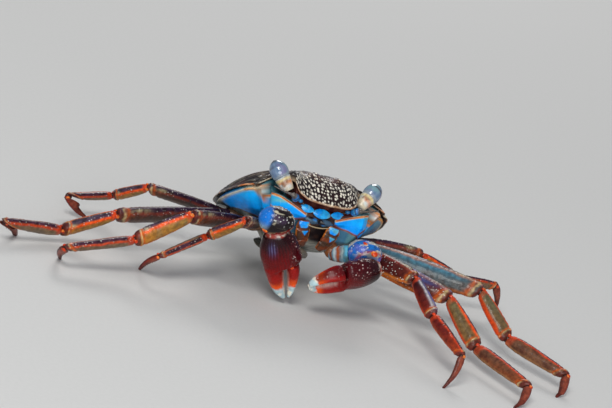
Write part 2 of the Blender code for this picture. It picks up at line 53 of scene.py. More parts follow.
# ---- the crab's skeleton, as in the part ----------------------------------------------
BODY_PLACE = (6.90, 22.67, 23.5)
BODY_PITCH = 26.0
GAP = 0.3                                # between neighbouring pieces
CARAPACE_MARGIN = (                      # x, f, w of the half on the crab's left
    (0.0, 21.7, -3.5), (6.0, 21.0, -2.9), (8.9, 19.4, -1.0), (9.8, 17.2, 1.8),
    (13.0, 12.7, 3.0), (16.8, 12.9, 1.5), (18.9, 15.2, 0.0), (20.5, 12.5, -0.8),
    (22.2, 11.4, -1.2), (24.1, 6.0, -2.3), (25.0, 0.0, -3.4), (24.0, -7.5, -4.2),
    (20.6, -14.6, -4.5), (15.4, -20.4, -4.4), (9.0, -24.0, -4.2), (0.0, -24.6, -3.6),
)
DOME_HEIGHT = 6.8
DOME_POWER_FRONT = 5.2
DOME_POWER_SIDE = 3.0
PLATE_EDGE = 0.5
PLATE_MIDDLE = 1.6
LOBES = ((3.5, 15.2, 1.7, 0.9), (9.6, 14.2, 1.9, 1.0))         # x, f, spread, height
FACE_FORWARD = 16.9
CHEEK_RADIUS = 21.4
ORBIT_FROM, ORBIT_TO = 31.0, 51.0
ORBIT_DEPTH = 2.6
FACE_ANGLE = 24.0
UNDER_ROOF = 0.6
UNDERSIDE = (                            # inset and level: everywhere, and added at face, side and rear
    ((0.6, 0.0, 4.4, 2.0), (-6.4, -0.6, -0.4, 0.8)),
    ((1.6, 2.0, 8.4, 1.5), (-8.3, 0.0, -0.1, 0.5)),
    ((4.4, 1.6, 9.4, 0.0), (-11.2, -0.8, 0.0, 0.0)),
)
STERNUM = -13.4
STERNUM_SHARE = 0.38
ABDOMEN_LENGTH = 23.0
ABDOMEN_WIDTH = 14.5
ABDOMEN_THICKNESS = 1.5
ABDOMEN_ROOT = -17.5
ABDOMEN_DROP = 1.6
ABDOMEN_RISE = 4.6
# in every SHAPE table the first column is the share of the length
ABDOMEN_SHAPE = ((0.0, 0.62, 0.0), (0.12, 0.95, 0.0), (0.4, 1.0, 0.1), (0.7, 0.72, 0.1),
                 (0.92, 0.4, 0.0), (1.0, 0.18, 0.0))
EYE_BASE = (10.9, 16.6, -0.8)
EYE_NECK = (13.4, 15.8, 2.5)
EYE_TIP = (16.5, 14.9, 6.7)
# share, height, thickness, and for the blades of the claws the rise
STALK_SHAPE = ((0.0, 2.8, 2.8), (0.35, 3.7, 3.7), (0.75, 4.3, 4.3), (1.0, 4.5, 4.5))
CORNEA_SHAPE = ((0.0, 4.6, 4.5), (0.22, 5.3, 5.2), (0.50, 5.2, 5.0), (0.75, 4.0, 3.9),
                (0.92, 2.2, 2.2), (1.0, 0.2, 0.2))
ANTENNA_PATH = ((9.0, 17.2, -2.7), (9.3, 18.3, -2.5), (10.4, 19.1, -2.2), (13.2, 19.0, -1.7),
                (16.2, 18.3, -0.8))
ANTENNA_WIDTHS = (2.0, 2.2, 1.4, 0.8, 0.6)
MAXILLIPED_PATH = ((4.7, 16.3, -7.9), (4.5, 15.8, -9.3), (4.1, 14.9, -11.2), (3.4, 13.6, -13.0),
                   (2.6, 12.0, -14.4))
MAXILLIPED_WIDTHS = (2.6, 4.3, 4.1, 3.6, 2.2)
MAXILLIPED_THICKNESS = 1.3
LEGS = {                                 # root in the body frame, segments' lengths, stoutness
    2: ((14.6, 5.2, -10.6), (24.5, 13.5, 17.0, 10.5), 0.86),
    3: ((15.2, 1.2, -10.2), (34.0, 17.0, 21.5, 11.0), 1.00),
    4: ((19.5, -4.9, -8.0), (40.0, 16.0, 20.5, 11.0), 1.04),
    5: ((18.8, -9.8, -7.4), (25.0, 13.5, 15.0, 10.5), 0.88),
}
# swing and tilt of the leg's plane, angles of its segments in it, sideways bend of shank and foot
STANCES = {
    ("R", 2): (43.0, 47.0, (24.0, -95.0, -26.0, -111.0), 6.0),
    ("R", 3): (35.0, 35.0, (11.0, -45.0, -17.0, -128.0), -6.0),
    ("R", 4): (25.0, 33.0, (-5.0, -34.0, 3.0, -142.0), -2.0),
    ("R", 5): (-4.0, 49.0, (9.0, -60.0, 16.0, -150.0), 20.0),
    ("L", 2): (58.0, -30.0, (4.0, -28.0, -30.0, -80.0), 6.0),
    ("L", 3): (37.0, -40.0, (-3.0, -37.0, -50.0, -92.0), 18.0),
    ("L", 4): (29.0, -38.0, (1.0, -40.0, -46.0, -92.0), 12.0),
    ("L", 5): (2.0, 4.0, (3.0, -20.0, -8.0, -68.0), -12.0),
}
SEGMENT_SHAPES = {
    "merus": ((0.0, 3.3, 2.6), (0.14, 4.6, 2.9), (0.45, 6.5, 3.1), (0.78, 6.3, 3.3),
              (0.93, 5.4, 3.5), (1.0, 4.2, 3.0)),
    "carpus": ((0.0, 3.1, 2.4), (0.22, 4.2, 3.1), (0.60, 5.0, 3.3), (0.88, 4.9, 3.3),
               (1.0, 3.7, 2.7)),
    "propodus": ((0.0, 3.2, 2.3), (0.20, 4.2, 2.7), (0.60, 3.9, 2.5), (0.90, 3.2, 2.3),
                 (1.0, 2.5, 1.9)),
    "dactyl": ((0.0, 2.3, 1.7), (0.20, 2.5, 1.9), (0.60, 1.8, 1.5), (0.90, 1.2, 1.1),
               (1.0, 0.9, 0.9)),
}
SETTLE_RANGE = 30.0                      # how far the shank may turn to bring the foot to the floor
SETTLE_STEPS = 40
KEEL = 0.35
DACTYL_ARCH = 0.8
# x and y from the middle of the body, z from the floor; a cut is a place and the way it faces
CLAWS = {
    "R": dict(arm=((-6.6, -16.8, 15.0), (-14.4, -22.4, 23.0)),
              elbow_cut=((-14.2, -22.3, 22.9), (-0.68, -0.50, 0.53)),
              wrist=(-16.2, -27.0, 24.4),
              wrist_cut=((-15.4, -27.3, 21.9), (0.45, 0.10, -0.89)),
              palm=((-15.4, -27.3, 21.9), (-4.4, -23.4, 2.2)),
              toward_dactyl=(1.0, -0.15, 0.4), gape=0.22, pale_from=0.82),
    "L": dict(arm=((6.6, -16.8, 15.0), (11.4, -19.8, 17.6)),
              elbow_cut=((11.2, -19.6, 17.5), (0.77, -0.48, 0.42)),
              wrist=(14.4, -21.4, 19.0),
              wrist_cut=((15.2, -24.6, 18.4), (0.10, -0.95, -0.30)),
              palm=((17.6, -27.6, 17.8), (-1.4, -29.4, 8.8)),
              toward_dactyl=(0.0, -0.60, 0.80), gape=1.10, pale_from=0.90),
}
ARM_SHAPE = ((0.0, 3.2, 2.8), (0.3, 4.4, 3.6), (0.7, 5.0, 4.3), (1.0, 4.6, 4.2))
WRIST_SIZE = (10.4, 8.1, 8.2)
PALM_SHAPE = ((0.0, 5.2, 4.2, 0.0), (0.07, 7.8, 5.9, 0.0), (0.20, 10.4, 7.2, 0.1),
              (0.34, 11.1, 7.4, 0.15), (0.50, 10.3, 6.5, 0.15), (0.535, 5.4, 5.9, -2.20),
              (0.62, 4.9, 5.3, -2.05), (0.78, 3.7, 4.1, -1.80), (0.90, 2.9, 3.1, -1.40),
              (1.0, 1.3, 1.6, -0.75))
DACTYL_SHAPE = ((0.545, 3.7, 4.7, 3.05), (0.62, 3.6, 4.9, 3.05), (0.76, 2.9, 3.9, 2.50),
                (0.87, 2.3, 3.0, 1.90), (0.95, 1.8, 2.4, 1.35), (1.0, 1.0, 1.4, 0.85))
FINGERS_FROM = 0.54

# ---- colours, linear ------------------------------------------------------------------
AZURE = (0.001, 0.32, 0.98)
AQUA = (0.10, 0.42, 0.60)
TEAL = (0.16, 0.36, 0.36)
STEEL = (0.05, 0.15, 0.24)
GREY_TEAL = (0.05, 0.085, 0.09)
CREAM = (0.62, 0.55, 0.40)
PALE = (0.55, 0.62, 0.60)
WHITE = (0.80, 0.82, 0.78)
TAN = (0.42, 0.24, 0.13)
ORANGE = (0.62, 0.17, 0.02)
RED = (0.30, 0.010, 0.006)
RUST = (0.16, 0.035, 0.010)
MAROON = (0.040, 0.005, 0.007)
BLACK = (0.010, 0.006, 0.007)
PLUM = (0.036, 0.016, 0.040)
VIOLET = (0.10, 0.09, 0.26)
OLIVE = (0.15, 0.125, 0.065)
STONE = (0.20, 0.17, 0.12)
BROWN = (0.055, 0.030, 0.022)
PALE_PATCH = (0.52, 0.46, 0.25)          # above the legs' front ridges, near the far ends
JOINT_DARK = (0.035, 0.010, 0.008)

# ---- looks ----------------------------------------------------------------------------
# roughness, gloss, grain in mm, relief, mottling, room of a dot in mm, colour of the dots
SHELLS = {
    "back_shell": (0.36, 0.25, 1.6, 0.45, 0.45),
    "cheek_shell": (0.34, 0.20, 2.4, 0.18, 0.14),
    "leg_shell": (0.36, 0.16, 1.1, 0.45, 0.40, 0.78, (0.62, 0.60, 0.54)),
    "claw_shell": (0.22, 0.20, 1.4, 0.12, 0.22),
    "stalk_shell": (0.30, 0.45, 1.0, 0.20, 0.25),
    "joint_skin": (0.38, 0.3, 0.8, 0.35, 0.45),
}
DARKER = (0.98, 1.06, 1.02)              # how much the mottling takes from and adds to each channel
LIGHTER = (0.60, 0.50, 0.40)
FINE_GRAIN = 0.22                        # size of the pits
FACET = 0.11                             # one facet of the eye
MIX_INPUTS, MIX_RESULT = (0, 6, 7), 2    # a colour Mix node's own sockets

RADIUS_KEYS = [(math.degrees(math.atan2(x, f)), math.hypot(x, f)) for x, f, w in CARAPACE_MARGIN]
HEIGHT_KEYS = [(math.degrees(math.atan2(x, f)), w) for x, f, w in CARAPACE_MARGIN]
CARAPACE_COLUMNS, BODY_COLUMNS = 600, 500
TUBERCLE_ROOM = 0.96                     # room of one white tubercle of the front
GILL_RIDGE_PITCH = 1.55
# between stomach, heart and gills: line of (side, forward), depth and width
GROOVES = (
    (((6.5, 9.5), (8.0, 4.0), (5.0, -1.5), (3.6, -6.0), (5.2, -11.0)), 1.0, 0.55),
    (((5.0, -1.5), (0.0, -3.2)), 0.7, 0.5),
    (((0.0, 16.5), (0.0, 11.0)), 0.6, 0.5),
)
STERNUM_GROOVES = (7.5, 2.5, -2.5, -7.5, -12.0)
ROUNDING_PASSES = 3                      # how often the body's profile is smoothed
# lines of the cheeks' paint: (side, level), and for the lower edge (angle, level)
CHEEK_TOP = ((4.7, -6.1), (8.9, -4.4), (13.5, -2.8), (16.4, -2.0), (19.0, -0.4))
CHEEK_DIVIDER = ((19.4, -0.8), (17.6, -3.0), (15.2, -5.6), (12.6, -8.4))
CHEEK_LOW = ((14.0, -6.9), (18.0, -7.3), (25.0, -7.8), (38.0, -8.7), (50.0, -9.6), (61.0, -9.2),
             (74.0, -8.0), (86.0, -6.6), (180.0, -5.0))

EYE_CUT = 0.05                           # between stalk and cornea
# x, f, w and size or half sizes of small pieces of the face
ANTENNULE = ((7.3, 17.3, -3.0, 0.70, (0.03, 0.20, 0.45)), (6.3, 17.2, -3.5, 0.45, BROWN))
EPISTOME = ((0.0, 16.8, -5.1, 2.9, 1.40), (4.75, 16.8, -4.55, 2.35, 1.10))
LIP_PATH = ((-5.4, 16.2, -8.2), (-2.6, 16.5, -9.1), (0.6, 16.5, -9.1), (4.2, 16.2, -8.2))
BLOB_POLE = 0.06                         # angle of an egg's first ring from its end

SEGMENT_ROWS = {"merus": 120, "carpus": 64, "propodus": 76, "dactyl": 56}
LEG_COLUMNS = 60
RIM = {"merus": 0.955, "carpus": 0.90, "propodus": 0.92}       # share of the length of the end's rim
WRINKLES = {"merus": 60, "carpus": 34, "propodus": 40}         # along each segment
SHANK = 2                                # the segment that is turned until the foot stands
END_RADIUS = 0.7                         # of the rounding at a segment's ends
SPINE_ROWS, SPINE_COLUMNS = range(14, 44, 5), (36, 54)
# near and far end of the face and where one fades into the other, its patches, lower edge, top,
# ridge, rims at the ends, band under the ridge, pale patch, pale dots and width of the ridge
PLAIN_LOOK = dict(band=BLACK, banded=0.0, pale=0.0, spotted=0.0, keel=11.0)
LOOKS = {
    "merus": dict(
        near=(0.045, 0.038, 0.034), far=(0.12, 0.040, 0.016), fade=(0.35, 1.0), patch=BROWN, patchy=0.6,
        low=RUST, edge=0.8, top=PLUM, ridge=(0.24, 0.030, 0.020), ridged=0.8, ends=0.8, pale=0.65),
    "carpus": dict(
        near=(0.27, 0.15, 0.030), far=(0.42, 0.16, 0.018), fade=(0.1, 1.2), patch=OLIVE, patchy=0.45,
        low=(0.62, 0.055, 0.006), edge=0.95, top=(0.060, 0.034, 0.064), ridge=(0.88, 0.075, 0.004),
        ridged=1.0, ends=1.0, keel=12.0, pale=0.9),
    "propodus": dict(
        near=(0.20, 0.13, 0.065), far=(0.15, 0.075, 0.035), fade=(0.2, 1.1), patch=(0.13, 0.10, 0.07),
        patchy=0.5, low=(0.36, 0.17, 0.06), edge=0.6, top=(0.06, 0.02, 0.04), ridge=(0.60, 0.050, 0.010),
        ridged=1.0, ends=1.0),
    "dactyl": dict(
        near=(0.24, 0.055, 0.030), far=(0.09, 0.012, 0.008), fade=(0.3, 1.0), patch=MAROON, patchy=0.5,
        low=(0.10, 0.03, 0.02), edge=0.6, top=(0.12, 0.016, 0.012), ridge=RED, ridged=0.5, ends=0.0),
}
LEG_CHANGES = {
    ("L", 2, "merus"): dict(
        near=(0.05, 0.006, 0.008), far=(0.08, 0.012, 0.008), low=ORANGE, top=MAROON, patch=BLACK,
        spotted=0.9),
    ("L", 2, "carpus"): dict(
        near=MAROON, far=(0.20, 0.02, 0.01), top=VIOLET, ridge=(0.45, 0.46, 0.5), low=(0.55, 0.05, 0.01),
        patch=MAROON),
    ("L", 2, "propodus"): dict(
        near=(0.12, 0.012, 0.010), far=(0.30, 0.04, 0.012), top=(0.05, 0.010, 0.02), low=(0.55, 0.09, 0.012),
        patch=MAROON),
    ("L", 3, "merus"): dict(
        near=(0.05, 0.008, 0.008), far=(0.14, 0.022, 0.010), low=(0.55, 0.13, 0.015), banded=1.0,
        band=(0.05, 0.06, 0.18), ridge=(0.30, 0.16, 0.20), top=VIOLET, spotted=0.9),
    ("L", 3, "carpus"): dict(near=(0.15, 0.12, 0.05), far=(0.18, 0.09, 0.03), patch=(0.10, 0.05, 0.02)),
    ("L", 3, "propodus"): dict(near=(0.13, 0.055, 0.03), far=(0.20, 0.05, 0.015), patch=MAROON),
    ("L", 4, "merus"): dict(
        near=(0.05, 0.10, 0.13), far=(0.08, 0.09, 0.09), band=(0.06, 0.19, 0.27), banded=1.0,
        ridge=(0.50, 0.24, 0.17), low=(0.34, 0.09, 0.012), top=(0.07, 0.05, 0.08)),
    ("L", 4, "carpus"): dict(near=(0.12, 0.11, 0.055), far=(0.16, 0.08, 0.03)),
    ("L", 4, "propodus"): dict(near=(0.14, 0.06, 0.03), far=(0.16, 0.07, 0.035), patch=MAROON),
    ("R", 2, "merus"): dict(
        near=(0.050, 0.010, 0.010), far=(0.20, 0.030, 0.010), low=(0.50, 0.12, 0.015),
        ridge=(0.40, 0.30, 0.22), spotted=0.8),
}
WRIST_GRANULE = {"R": 0.70, "L": 0.85}   # room of one granule
WRIST_GRID = (110, 140)
BLADES = {"palm": (PALM_SHAPE, 190), "dactyl": (DACTYL_SHAPE, 100)}     # shape and rows
BLADE_COLUMNS = 200
STRIAE = 38                              # round a blade
TEETH = 26                               # along a blade
KNOB_FACING = np.array([-0.2, -0.95, 0.2])

CAMERA_AZIMUTH, CAMERA_ELEVATION, CAMERA_ROLL = -22.5, 16.0, 20.0
CAMERA_DISTANCE = 800.0
CAMERA_LENS = 164.7
CAMERA_AIM = (1.25, -0.71, -0.62)        # from the middle of the body
# name, place and size in metres, watts, colour
LIGHTS = (
    ("key", (-0.55, -0.65, 0.95), 0.5, 8.0, (1.0, 0.98, 0.95)),
    ("fill", (-0.25, -1.05, 0.20), 0.8, 8.5, (0.94, 0.97, 1.0)),
    ("rim", (0.25, 0.95, 0.75), 0.5, 4.6, (1.0, 0.98, 0.96)),
)
LIGHT_AIM = (0.0, 0.0, 0.02)
SKY_COLOUR = (0.80, 0.84, 0.90)
SKY_STRENGTH = 0.33
FLOOR_HALF = 6.0                         # metres
PAPER_GRAIN = 1 / 0.9                    # mm
PAPER_COLOURS = ((0.60, 0.60, 0.59), (0.64, 0.64, 0.63))


# ---- numbers on arrays ----------------------------------------------------------------
def smooth(value, low, high):
    """Rises smoothly from 0 at low to 1 at high."""
    share = np.clip((np.asarray(value, float) - low) / (high - low), 0.0, 1.0)
    return share * share * (3.0 - 2.0 * share)


def fade(value, low, high):
    """Falls smoothly from 1 at low to 0 at high."""
    return 1 - smooth(value, low, high)


def window(value, start, full, still_full, end):
    """Rises from start to full, then falls from still_full to end."""
    return smooth(value, start, full) * fade(value, still_full, end)


def bell(value, centre, width):
    """1 at the centre, falling to almost nothing two widths away."""
    return np.exp(-((np.asarray(value, float) - centre) / width)**2)


def spline(keys, at):
    """Smooth values of a curve through rows of (place, value)."""
    x = np.array([key[0] for key in keys], float)
    y = np.array([key[1] for key in keys], float)
    slopes = np.empty_like(y)
    slopes[1:-1] = (y[2:] - y[:-2]) / (x[2:] - x[:-2])
    slopes[0] = (y[1] - y[0]) / (x[1] - x[0])
    slopes[-1] = (y[-1] - y[-2]) / (x[-1] - x[-2])
    at = np.clip(np.asarray(at, float), x[0], x[-1])
    i = np.clip(np.searchsorted(x, at) - 1, 0, len(x) - 2)
    span = x[i + 1] - x[i]
    s = (at - x[i]) / span
    return ((2 * s**3 - 3 * s**2 + 1) * y[i] + (s**3 - 2 * s**2 + s) * slopes[i] * span
            + (3 * s**2 - 2 * s**3) * y[i + 1] + (s**3 - s**2) * slopes[i + 1] * span)


def scatter(ix, iy, iz, seed):
    """Repeatable random numbers from 0 to 1 for the corners of a lattice."""
    mixed = (ix * 73856093) ^ (iy * 19349663) ^ (iz * 83492791) ^ (seed * 40503 + 12345)
    mixed = ((mixed ^ (mixed >> 13)) * 1274126177) & 0x7FFFFFFF
    return ((mixed ^ (mixed >> 15)) % 65536) / 65535.0


def noise(points, size, seed):
    """Smooth noise from -1 to 1 whose lumps are about one size across; the seed picks the pattern."""
    place = np.asarray(points) / size
    corner = np.floor(place).astype(np.int64)
    part = place - corner
    part = part * part * (3 - 2 * part)
    total = 0.0
    for step in range(8):
        bits = (step & 1, step >> 1 & 1, step >> 2 & 1)
        weight = 1.0
        for axis, bit in enumerate(bits):
            weight = weight * (part[..., axis] if bit else 1 - part[..., axis])
        total = total + weight * scatter(*(corner[..., axis] + bits[axis] for axis in range(3)), seed)
    return total * 2 - 1


def rough_noise(points, size, seed):
    """Noise with two finer layers on it."""
    return (noise(points, size, seed) + noise(points, size / 2.1, seed + 1) / 2
            + noise(points, size / 4.3, seed + 2) / 4) / 1.4


def patches(points, size, seed, low, high):
    """Soft patches: 0 where the noise is below low, 1 where it is above high."""
    return smooth(noise(points, size, seed), low, high)


def cells(points, size, seed, loose=0.8):
    """Distance to the nearest of many scattered points, in sizes, and that point's own number."""
    place = np.asarray(points) / size
    corner = np.floor(place).astype(np.int64)
    nearest = np.full(place.shape[:-1], 9.0)
    owner = np.zeros(place.shape[:-1])
    for step in range(27):
        cell = [corner[..., axis] + (step // 3**axis) % 3 - 1 for axis in range(3)]
        away = 0.0
        for axis in range(3):
            centre = cell[axis] + 0.5 + loose * (scatter(*cell, seed + axis) - 0.5)
            away = away + (place[..., axis] - centre)**2
        closer = away < nearest
        nearest = np.where(closer, away, nearest)
        owner = np.where(closer, scatter(*cell, seed + 7), owner)
    return np.sqrt(nearest), owner


def mix(under, over, amount):
    """Blends two colours, or arrays of them, by an amount for each point."""
    amount = np.clip(np.asarray(amount, float), 0.0, 1.0)[..., None]
    return np.asarray(under) * (1 - amount) + np.asarray(over) * amount


def coats(tint, *layers):
    """Lays coats over a tint, in order: each is a colour and how much of it every point takes."""
    for colour, amount in layers:
        tint = mix(tint, colour, amount)
    return tint


def blotched(first, second, points, size, seed, low, high):
    """The first colour with soft patches of the second."""
    return mix(first, second, patches(points, size, seed, low, high))


def line_distance(across, up, line):
    """Distance in a plane from each point to a line of points."""
    best = np.full(np.broadcast(across, up).shape, 1e9)
    for (ax, ay), (bx, by) in zip(line, line[1:]):
        run_x, run_y = bx - ax, by - ay
        share = ((across - ax) * run_x + (up - ay) * run_y) / (run_x**2 + run_y**2)
        share = np.clip(share, 0.0, 1.0)
        best = np.minimum(best, np.hypot(across - ax - share * run_x, up - ay - share * run_y))
    return best


# ---- surfaces and pieces --------------------------------------------------------------
def unit(vector):
    vector = np.asarray(vector, float)
    return vector / np.maximum(np.linalg.norm(vector, axis=-1, keepdims=True), SMALL)


def normals_of(points, inside=None):
    """Outward normals of a grid of points that closes on itself across its columns."""
    around = np.roll(points, -1, 1) - np.roll(points, 1, 1)
    along = np.gradient(points, axis=0)
    normals = unit(np.cross(around, along))
    centre = points.mean(axis=1, keepdims=True) if inside is None else np.asarray(inside)
    if np.sum(normals * (points - centre)) < 0:
        normals = -normals
    return normals


def push(points, amount, inside=None):
    """Moves each point of a grid along its normal."""
    return points + normals_of(points, inside) * np.asarray(amount)[..., None]


def build(name, material, surfaces, replaces=()):
    """One object of closed surfaces: each is a grid of rings, its tint and, if given, how dotted it is.

    Each end of a grid is closed by a fan to the middle of its last ring."""
    values, faces = [], []
    count = 0
    for grid, tint, *dotted in surfaces:
        rows, columns = grid.shape[:2]
        spots = np.broadcast_to(dotted[0] if dotted else 0.0, (rows, columns))[..., None]
        joined = np.concatenate([grid, np.broadcast_to(tint, (rows, columns, 3)), spots], -1)
        values += [joined.reshape(-1, 7), joined[0].mean(0)[None], joined[-1].mean(0)[None]]
        index = count + np.arange(rows * columns).reshape(rows, columns)
        ahead = np.roll(index, -1, 1)
        cap = count + rows * columns
        faces += np.stack([index[:-1], ahead[:-1], ahead[1:], index[1:]], -1).reshape(-1, 4).tolist()
        faces += [[b, a, cap] for a, b in zip(index[0].tolist(), ahead[0].tolist())]
        faces += [[a, b, cap + 1] for a, b in zip(index[-1].tolist(), ahead[-1].tolist())]
        count = cap + 2
    values = np.concatenate(values)
    places = values[:, :3] * MM
    places[:, 2] = np.maximum(places[:, 2], 0.0)
    mesh = bpy.data.meshes.new(name)
    mesh.from_pydata(places.tolist(), [], faces)
    work = bmesh.new()
    work.from_mesh(mesh)
    bmesh.ops.recalc_face_normals(work, faces=work.faces)
    work.to_mesh(mesh)
    work.free()
    tints = mesh.attributes.new("tint", "FLOAT_COLOR", "POINT")
    tints.data.foreach_set("color", np.hstack([values[:, 3:6], np.ones((len(values), 1))]).ravel())
    dots = mesh.attributes.new("dots", "FLOAT", "POINT")
    dots.data.foreach_set("value", values[:, 6].copy())
    mesh.shade_smooth()
    mesh.materials.append(material)
    thing = bpy.data.objects.new(name, mesh)
    bpy.context.scene.collection.objects.link(thing)
    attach(thing, "root")
    if replaces:
        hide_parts(*replaces)


def body_to_world(x, f, w):
    """World places of points of the body frame."""
    pitch = math.radians(BODY_PITCH)
    return np.stack(np.broadcast_arrays(
        BODY_PLACE[0] + x,
        BODY_PLACE[1] - f * math.cos(pitch) + w * math.sin(pitch),
        BODY_PLACE[2] + f * math.sin(pitch) + w * math.cos(pitch)), -1)


def body_vector(x, f, w):
    return body_to_world(x, f, w) - np.array(BODY_PLACE)


def turns(count):
    return np.arange(count) * 2 * math.pi / count


def blob(centre, axes, rows=12, columns=18, pointed=1.0):
    """An egg: centre and three half axes, as a grid of points; pointed above 1 sharpens its ends."""
    lean = np.linspace(BLOB_POLE, math.pi - BLOB_POLE, rows)[:, None, None]
    turn = turns(columns)[None, :, None]
    a, b, c = (np.asarray(axis, float) for axis in axes)
    swell = np.sin(lean)**pointed
    return np.asarray(centre) + a * np.cos(lean) + (b * np.cos(turn) + c * np.sin(turn)) * swell


def knob(centre, size, outward):
    """One glossy red-orange joint knob, a low dome on the shell, with its tint."""
    outward = unit(outward)
    across = unit(np.cross(outward, (0.3, 0.2, 1.0)))
    axes = [outward * size * 0.6, across * size, np.cross(outward, across) * size * 0.8]
    grid = blob(centre, axes, 18, 26)
    grid = push(grid, 0.12 * size * noise(grid, 0.7, 139), centre)
    return grid, blotched((0.55, 0.040, 0.008), (0.72, 0.20, 0.03), grid, 0.6, 140, -0.1, 0.6)


def tube(path, widths, columns=8, flat=(0, 0, 1), thicknesses=None):
    """Rings across a path of points; flat is the direction of the thickness."""
    path = np.asarray(path, float)
    widths = np.asarray(widths, float)[:, None, None]
    thicknesses = widths if thicknesses is None else np.asarray(thicknesses, float)[:, None, None]
    along = unit(np.gradient(path, axis=0))
    flat = np.asarray(flat, float)
    thin = unit(flat - along * (along @ flat)[:, None])
    wide = np.cross(along, thin)
    turn = turns(columns)[None, :, None]
    return (path[:, None] + wide[:, None] * np.cos(turn) * widths / 2
            + thin[:, None] * np.sin(turn) * thicknesses / 2)


def path_points(points, count):
    """Evenly spaced places of a smooth curve through a few points."""
    points = np.asarray(points, float)
    steps = np.linspace(0, len(points) - 1, count)
    return np.stack([spline(list(enumerate(points[:, axis])), steps) for axis in range(3)], -1)


def shape_values(shape, share):
    """The columns of a shape table at each share of its length."""
    return [spline([(row[0], row[i]) for row in shape], share) for i in range(1, len(shape[0]))]


def straight_grid(start, end, up, shape, shares, columns, trim_start=0.0, trim_end=0.0):
    """Rings along a straight line, shaped as a table of (share, height, thickness, rise) says."""
    start, end = np.asarray(start, float), np.asarray(end, float)
    along = unit(end - start)
    up = unit(np.asarray(up) - along * np.dot(up, along))
    side = np.cross(along, up)
    length = np.linalg.norm(end - start)
    height, thickness, *rise = (values[:, None, None] for values in shape_values(shape, shares))
    turn = turns(columns)[None, :, None]
    reach = (trim_start + (length - trim_start - trim_end) * shares)[:, None, None]
    return (start + along * reach + up * (rise[0] if rise else 0.0)
            + up * np.sin(turn) * height / 2 + side * np.cos(turn) * thickness / 2)


# ---- materials ------------------------------------------------------------------------
class Nodes:
    """Short names for making and joining the nodes of one material."""

    def __init__(self, name):
        self.material = bpy.data.materials.new(name)
        self.material.use_nodes = True
        self.tree = self.material.node_tree
        self.shader = self.tree.nodes["Principled BSDF"]

    def fill(self, node, inputs):
        """Sets each input to a number or a colour, or joins an output to it."""
        for name, value in inputs.items():
            if isinstance(value, bpy.types.NodeSocket):
                self.tree.links.new(value, node.inputs[name])
            else:
                node.inputs[name].default_value = (*value, 1.0) if isinstance(value, tuple) else value

    def add(self, kind, inputs, **settings):
        made = self.tree.nodes.new("ShaderNode" + kind)
        for key, value in settings.items():
            setattr(made, key, value)
        self.fill(made, inputs)
        return made

    def texture(self, kind, grain, inputs, **settings):
        """A texture over the piece's own space, with lumps about one grain, in mm, across."""
        where = self.add("TexCoord", {}).outputs["Object"]
        return self.add(kind, {"Vector": where, "Scale": 1.0 / (grain * MM), **inputs}, **settings)

    def attribute(self, name, output):
        return self.add("Attribute", {}, attribute_name=name).outputs[output]

    def math(self, operation, first, second):
        return self.add("Math", {0: first, 1: second}, operation=operation).outputs[0]

    def ranged(self, value, low, high, to_low, to_high):
        inputs = {"Value": value, "From Min": low, "From Max": high, "To Min": to_low, "To Max": to_high}
        return self.add("MapRange", inputs, interpolation_type="SMOOTHSTEP").outputs["Result"]

    def mixed(self, amount, first, second, blend="MIX"):
        inputs = dict(zip(MIX_INPUTS, (amount, first, second)))
        return self.add("Mix", inputs, data_type="RGBA", blend_type=blend).outputs[MIX_RESULT]

    def bump(self, height, strength, distance):
        inputs = {"Strength": strength, "Distance": distance * MM, "Height": height}
        self.fill(self.shader, {"Normal": self.add("Bump", inputs).outputs["Normal"]})


def shell_material(name, roughness, gloss, grain, relief, mottled=0.5, dot_size=0.9, dot_colour=WHITE):
    """Painted shell: the skin's own tint, mottled, with pale dots, fine pits and a wet gloss."""
    m = Nodes(name)
    mottle = m.texture("TexNoise", grain, {"Detail": 5.0, "Roughness": 0.65}).outputs["Fac"]
    fine = m.texture("TexNoise", FINE_GRAIN, {"Detail": 3.0}).outputs["Fac"]
    dot = m.texture("TexVoronoi", dot_size, {"Randomness": 0.9}, feature="F1").outputs["Distance"]
    tint = m.attribute("tint", "Color")
    dark = m.mixed(1.0, tint, tuple(1 - mottled * k for k in DARKER), "MULTIPLY")
    light = m.mixed(1.0, tint, tuple(1 + mottled * k for k in LIGHTER), "MULTIPLY")
    colour = m.mixed(m.ranged(mottle, 0.30, 0.72, 0.0, 1.0), dark, light)
    dots = m.math("MULTIPLY", m.ranged(dot, 0.16, 0.30, 1.0, 0.0), m.attribute("dots", "Fac"))
    m.fill(m.shader, {
        "Base Color": m.mixed(dots, colour, dot_colour),
        "Roughness": m.ranged(fine, 0.3, 0.7, roughness - 0.07, roughness + 0.09),
        "Coat Weight": gloss, "Coat Roughness": 0.07, "Specular IOR Level": 0.15})
    uneven = m.math("ADD", m.math("MULTIPLY", mottle, 0.5), dots)
    m.bump(m.math("ADD", m.math("MULTIPLY", fine, 0.35), uneven), relief, 0.12)
    return m.material


def cornea_material():
    """Polished eye: the tint under a clear coat, with the fine net of the eye's facets."""
    m = Nodes("cornea_facets")
    facets = m.texture("TexVoronoi", FACET, {"Randomness": 0.35}, feature="DISTANCE_TO_EDGE")
    edge = m.ranged(facets.outputs["Distance"], 0.02, 0.12, 0.0, 1.0)
    tint = m.attribute("tint", "Color")
    dark = m.mixed(1.0, tint, (0.82, 0.82, 0.86), "MULTIPLY")
    m.fill(m.shader, {"Base Color": m.mixed(edge, dark, tint), "Roughness": 0.16,
                      "Coat Weight": 1.0, "Coat Roughness": 0.03})
    m.bump(edge, 0.12, 0.03)
    return m.material


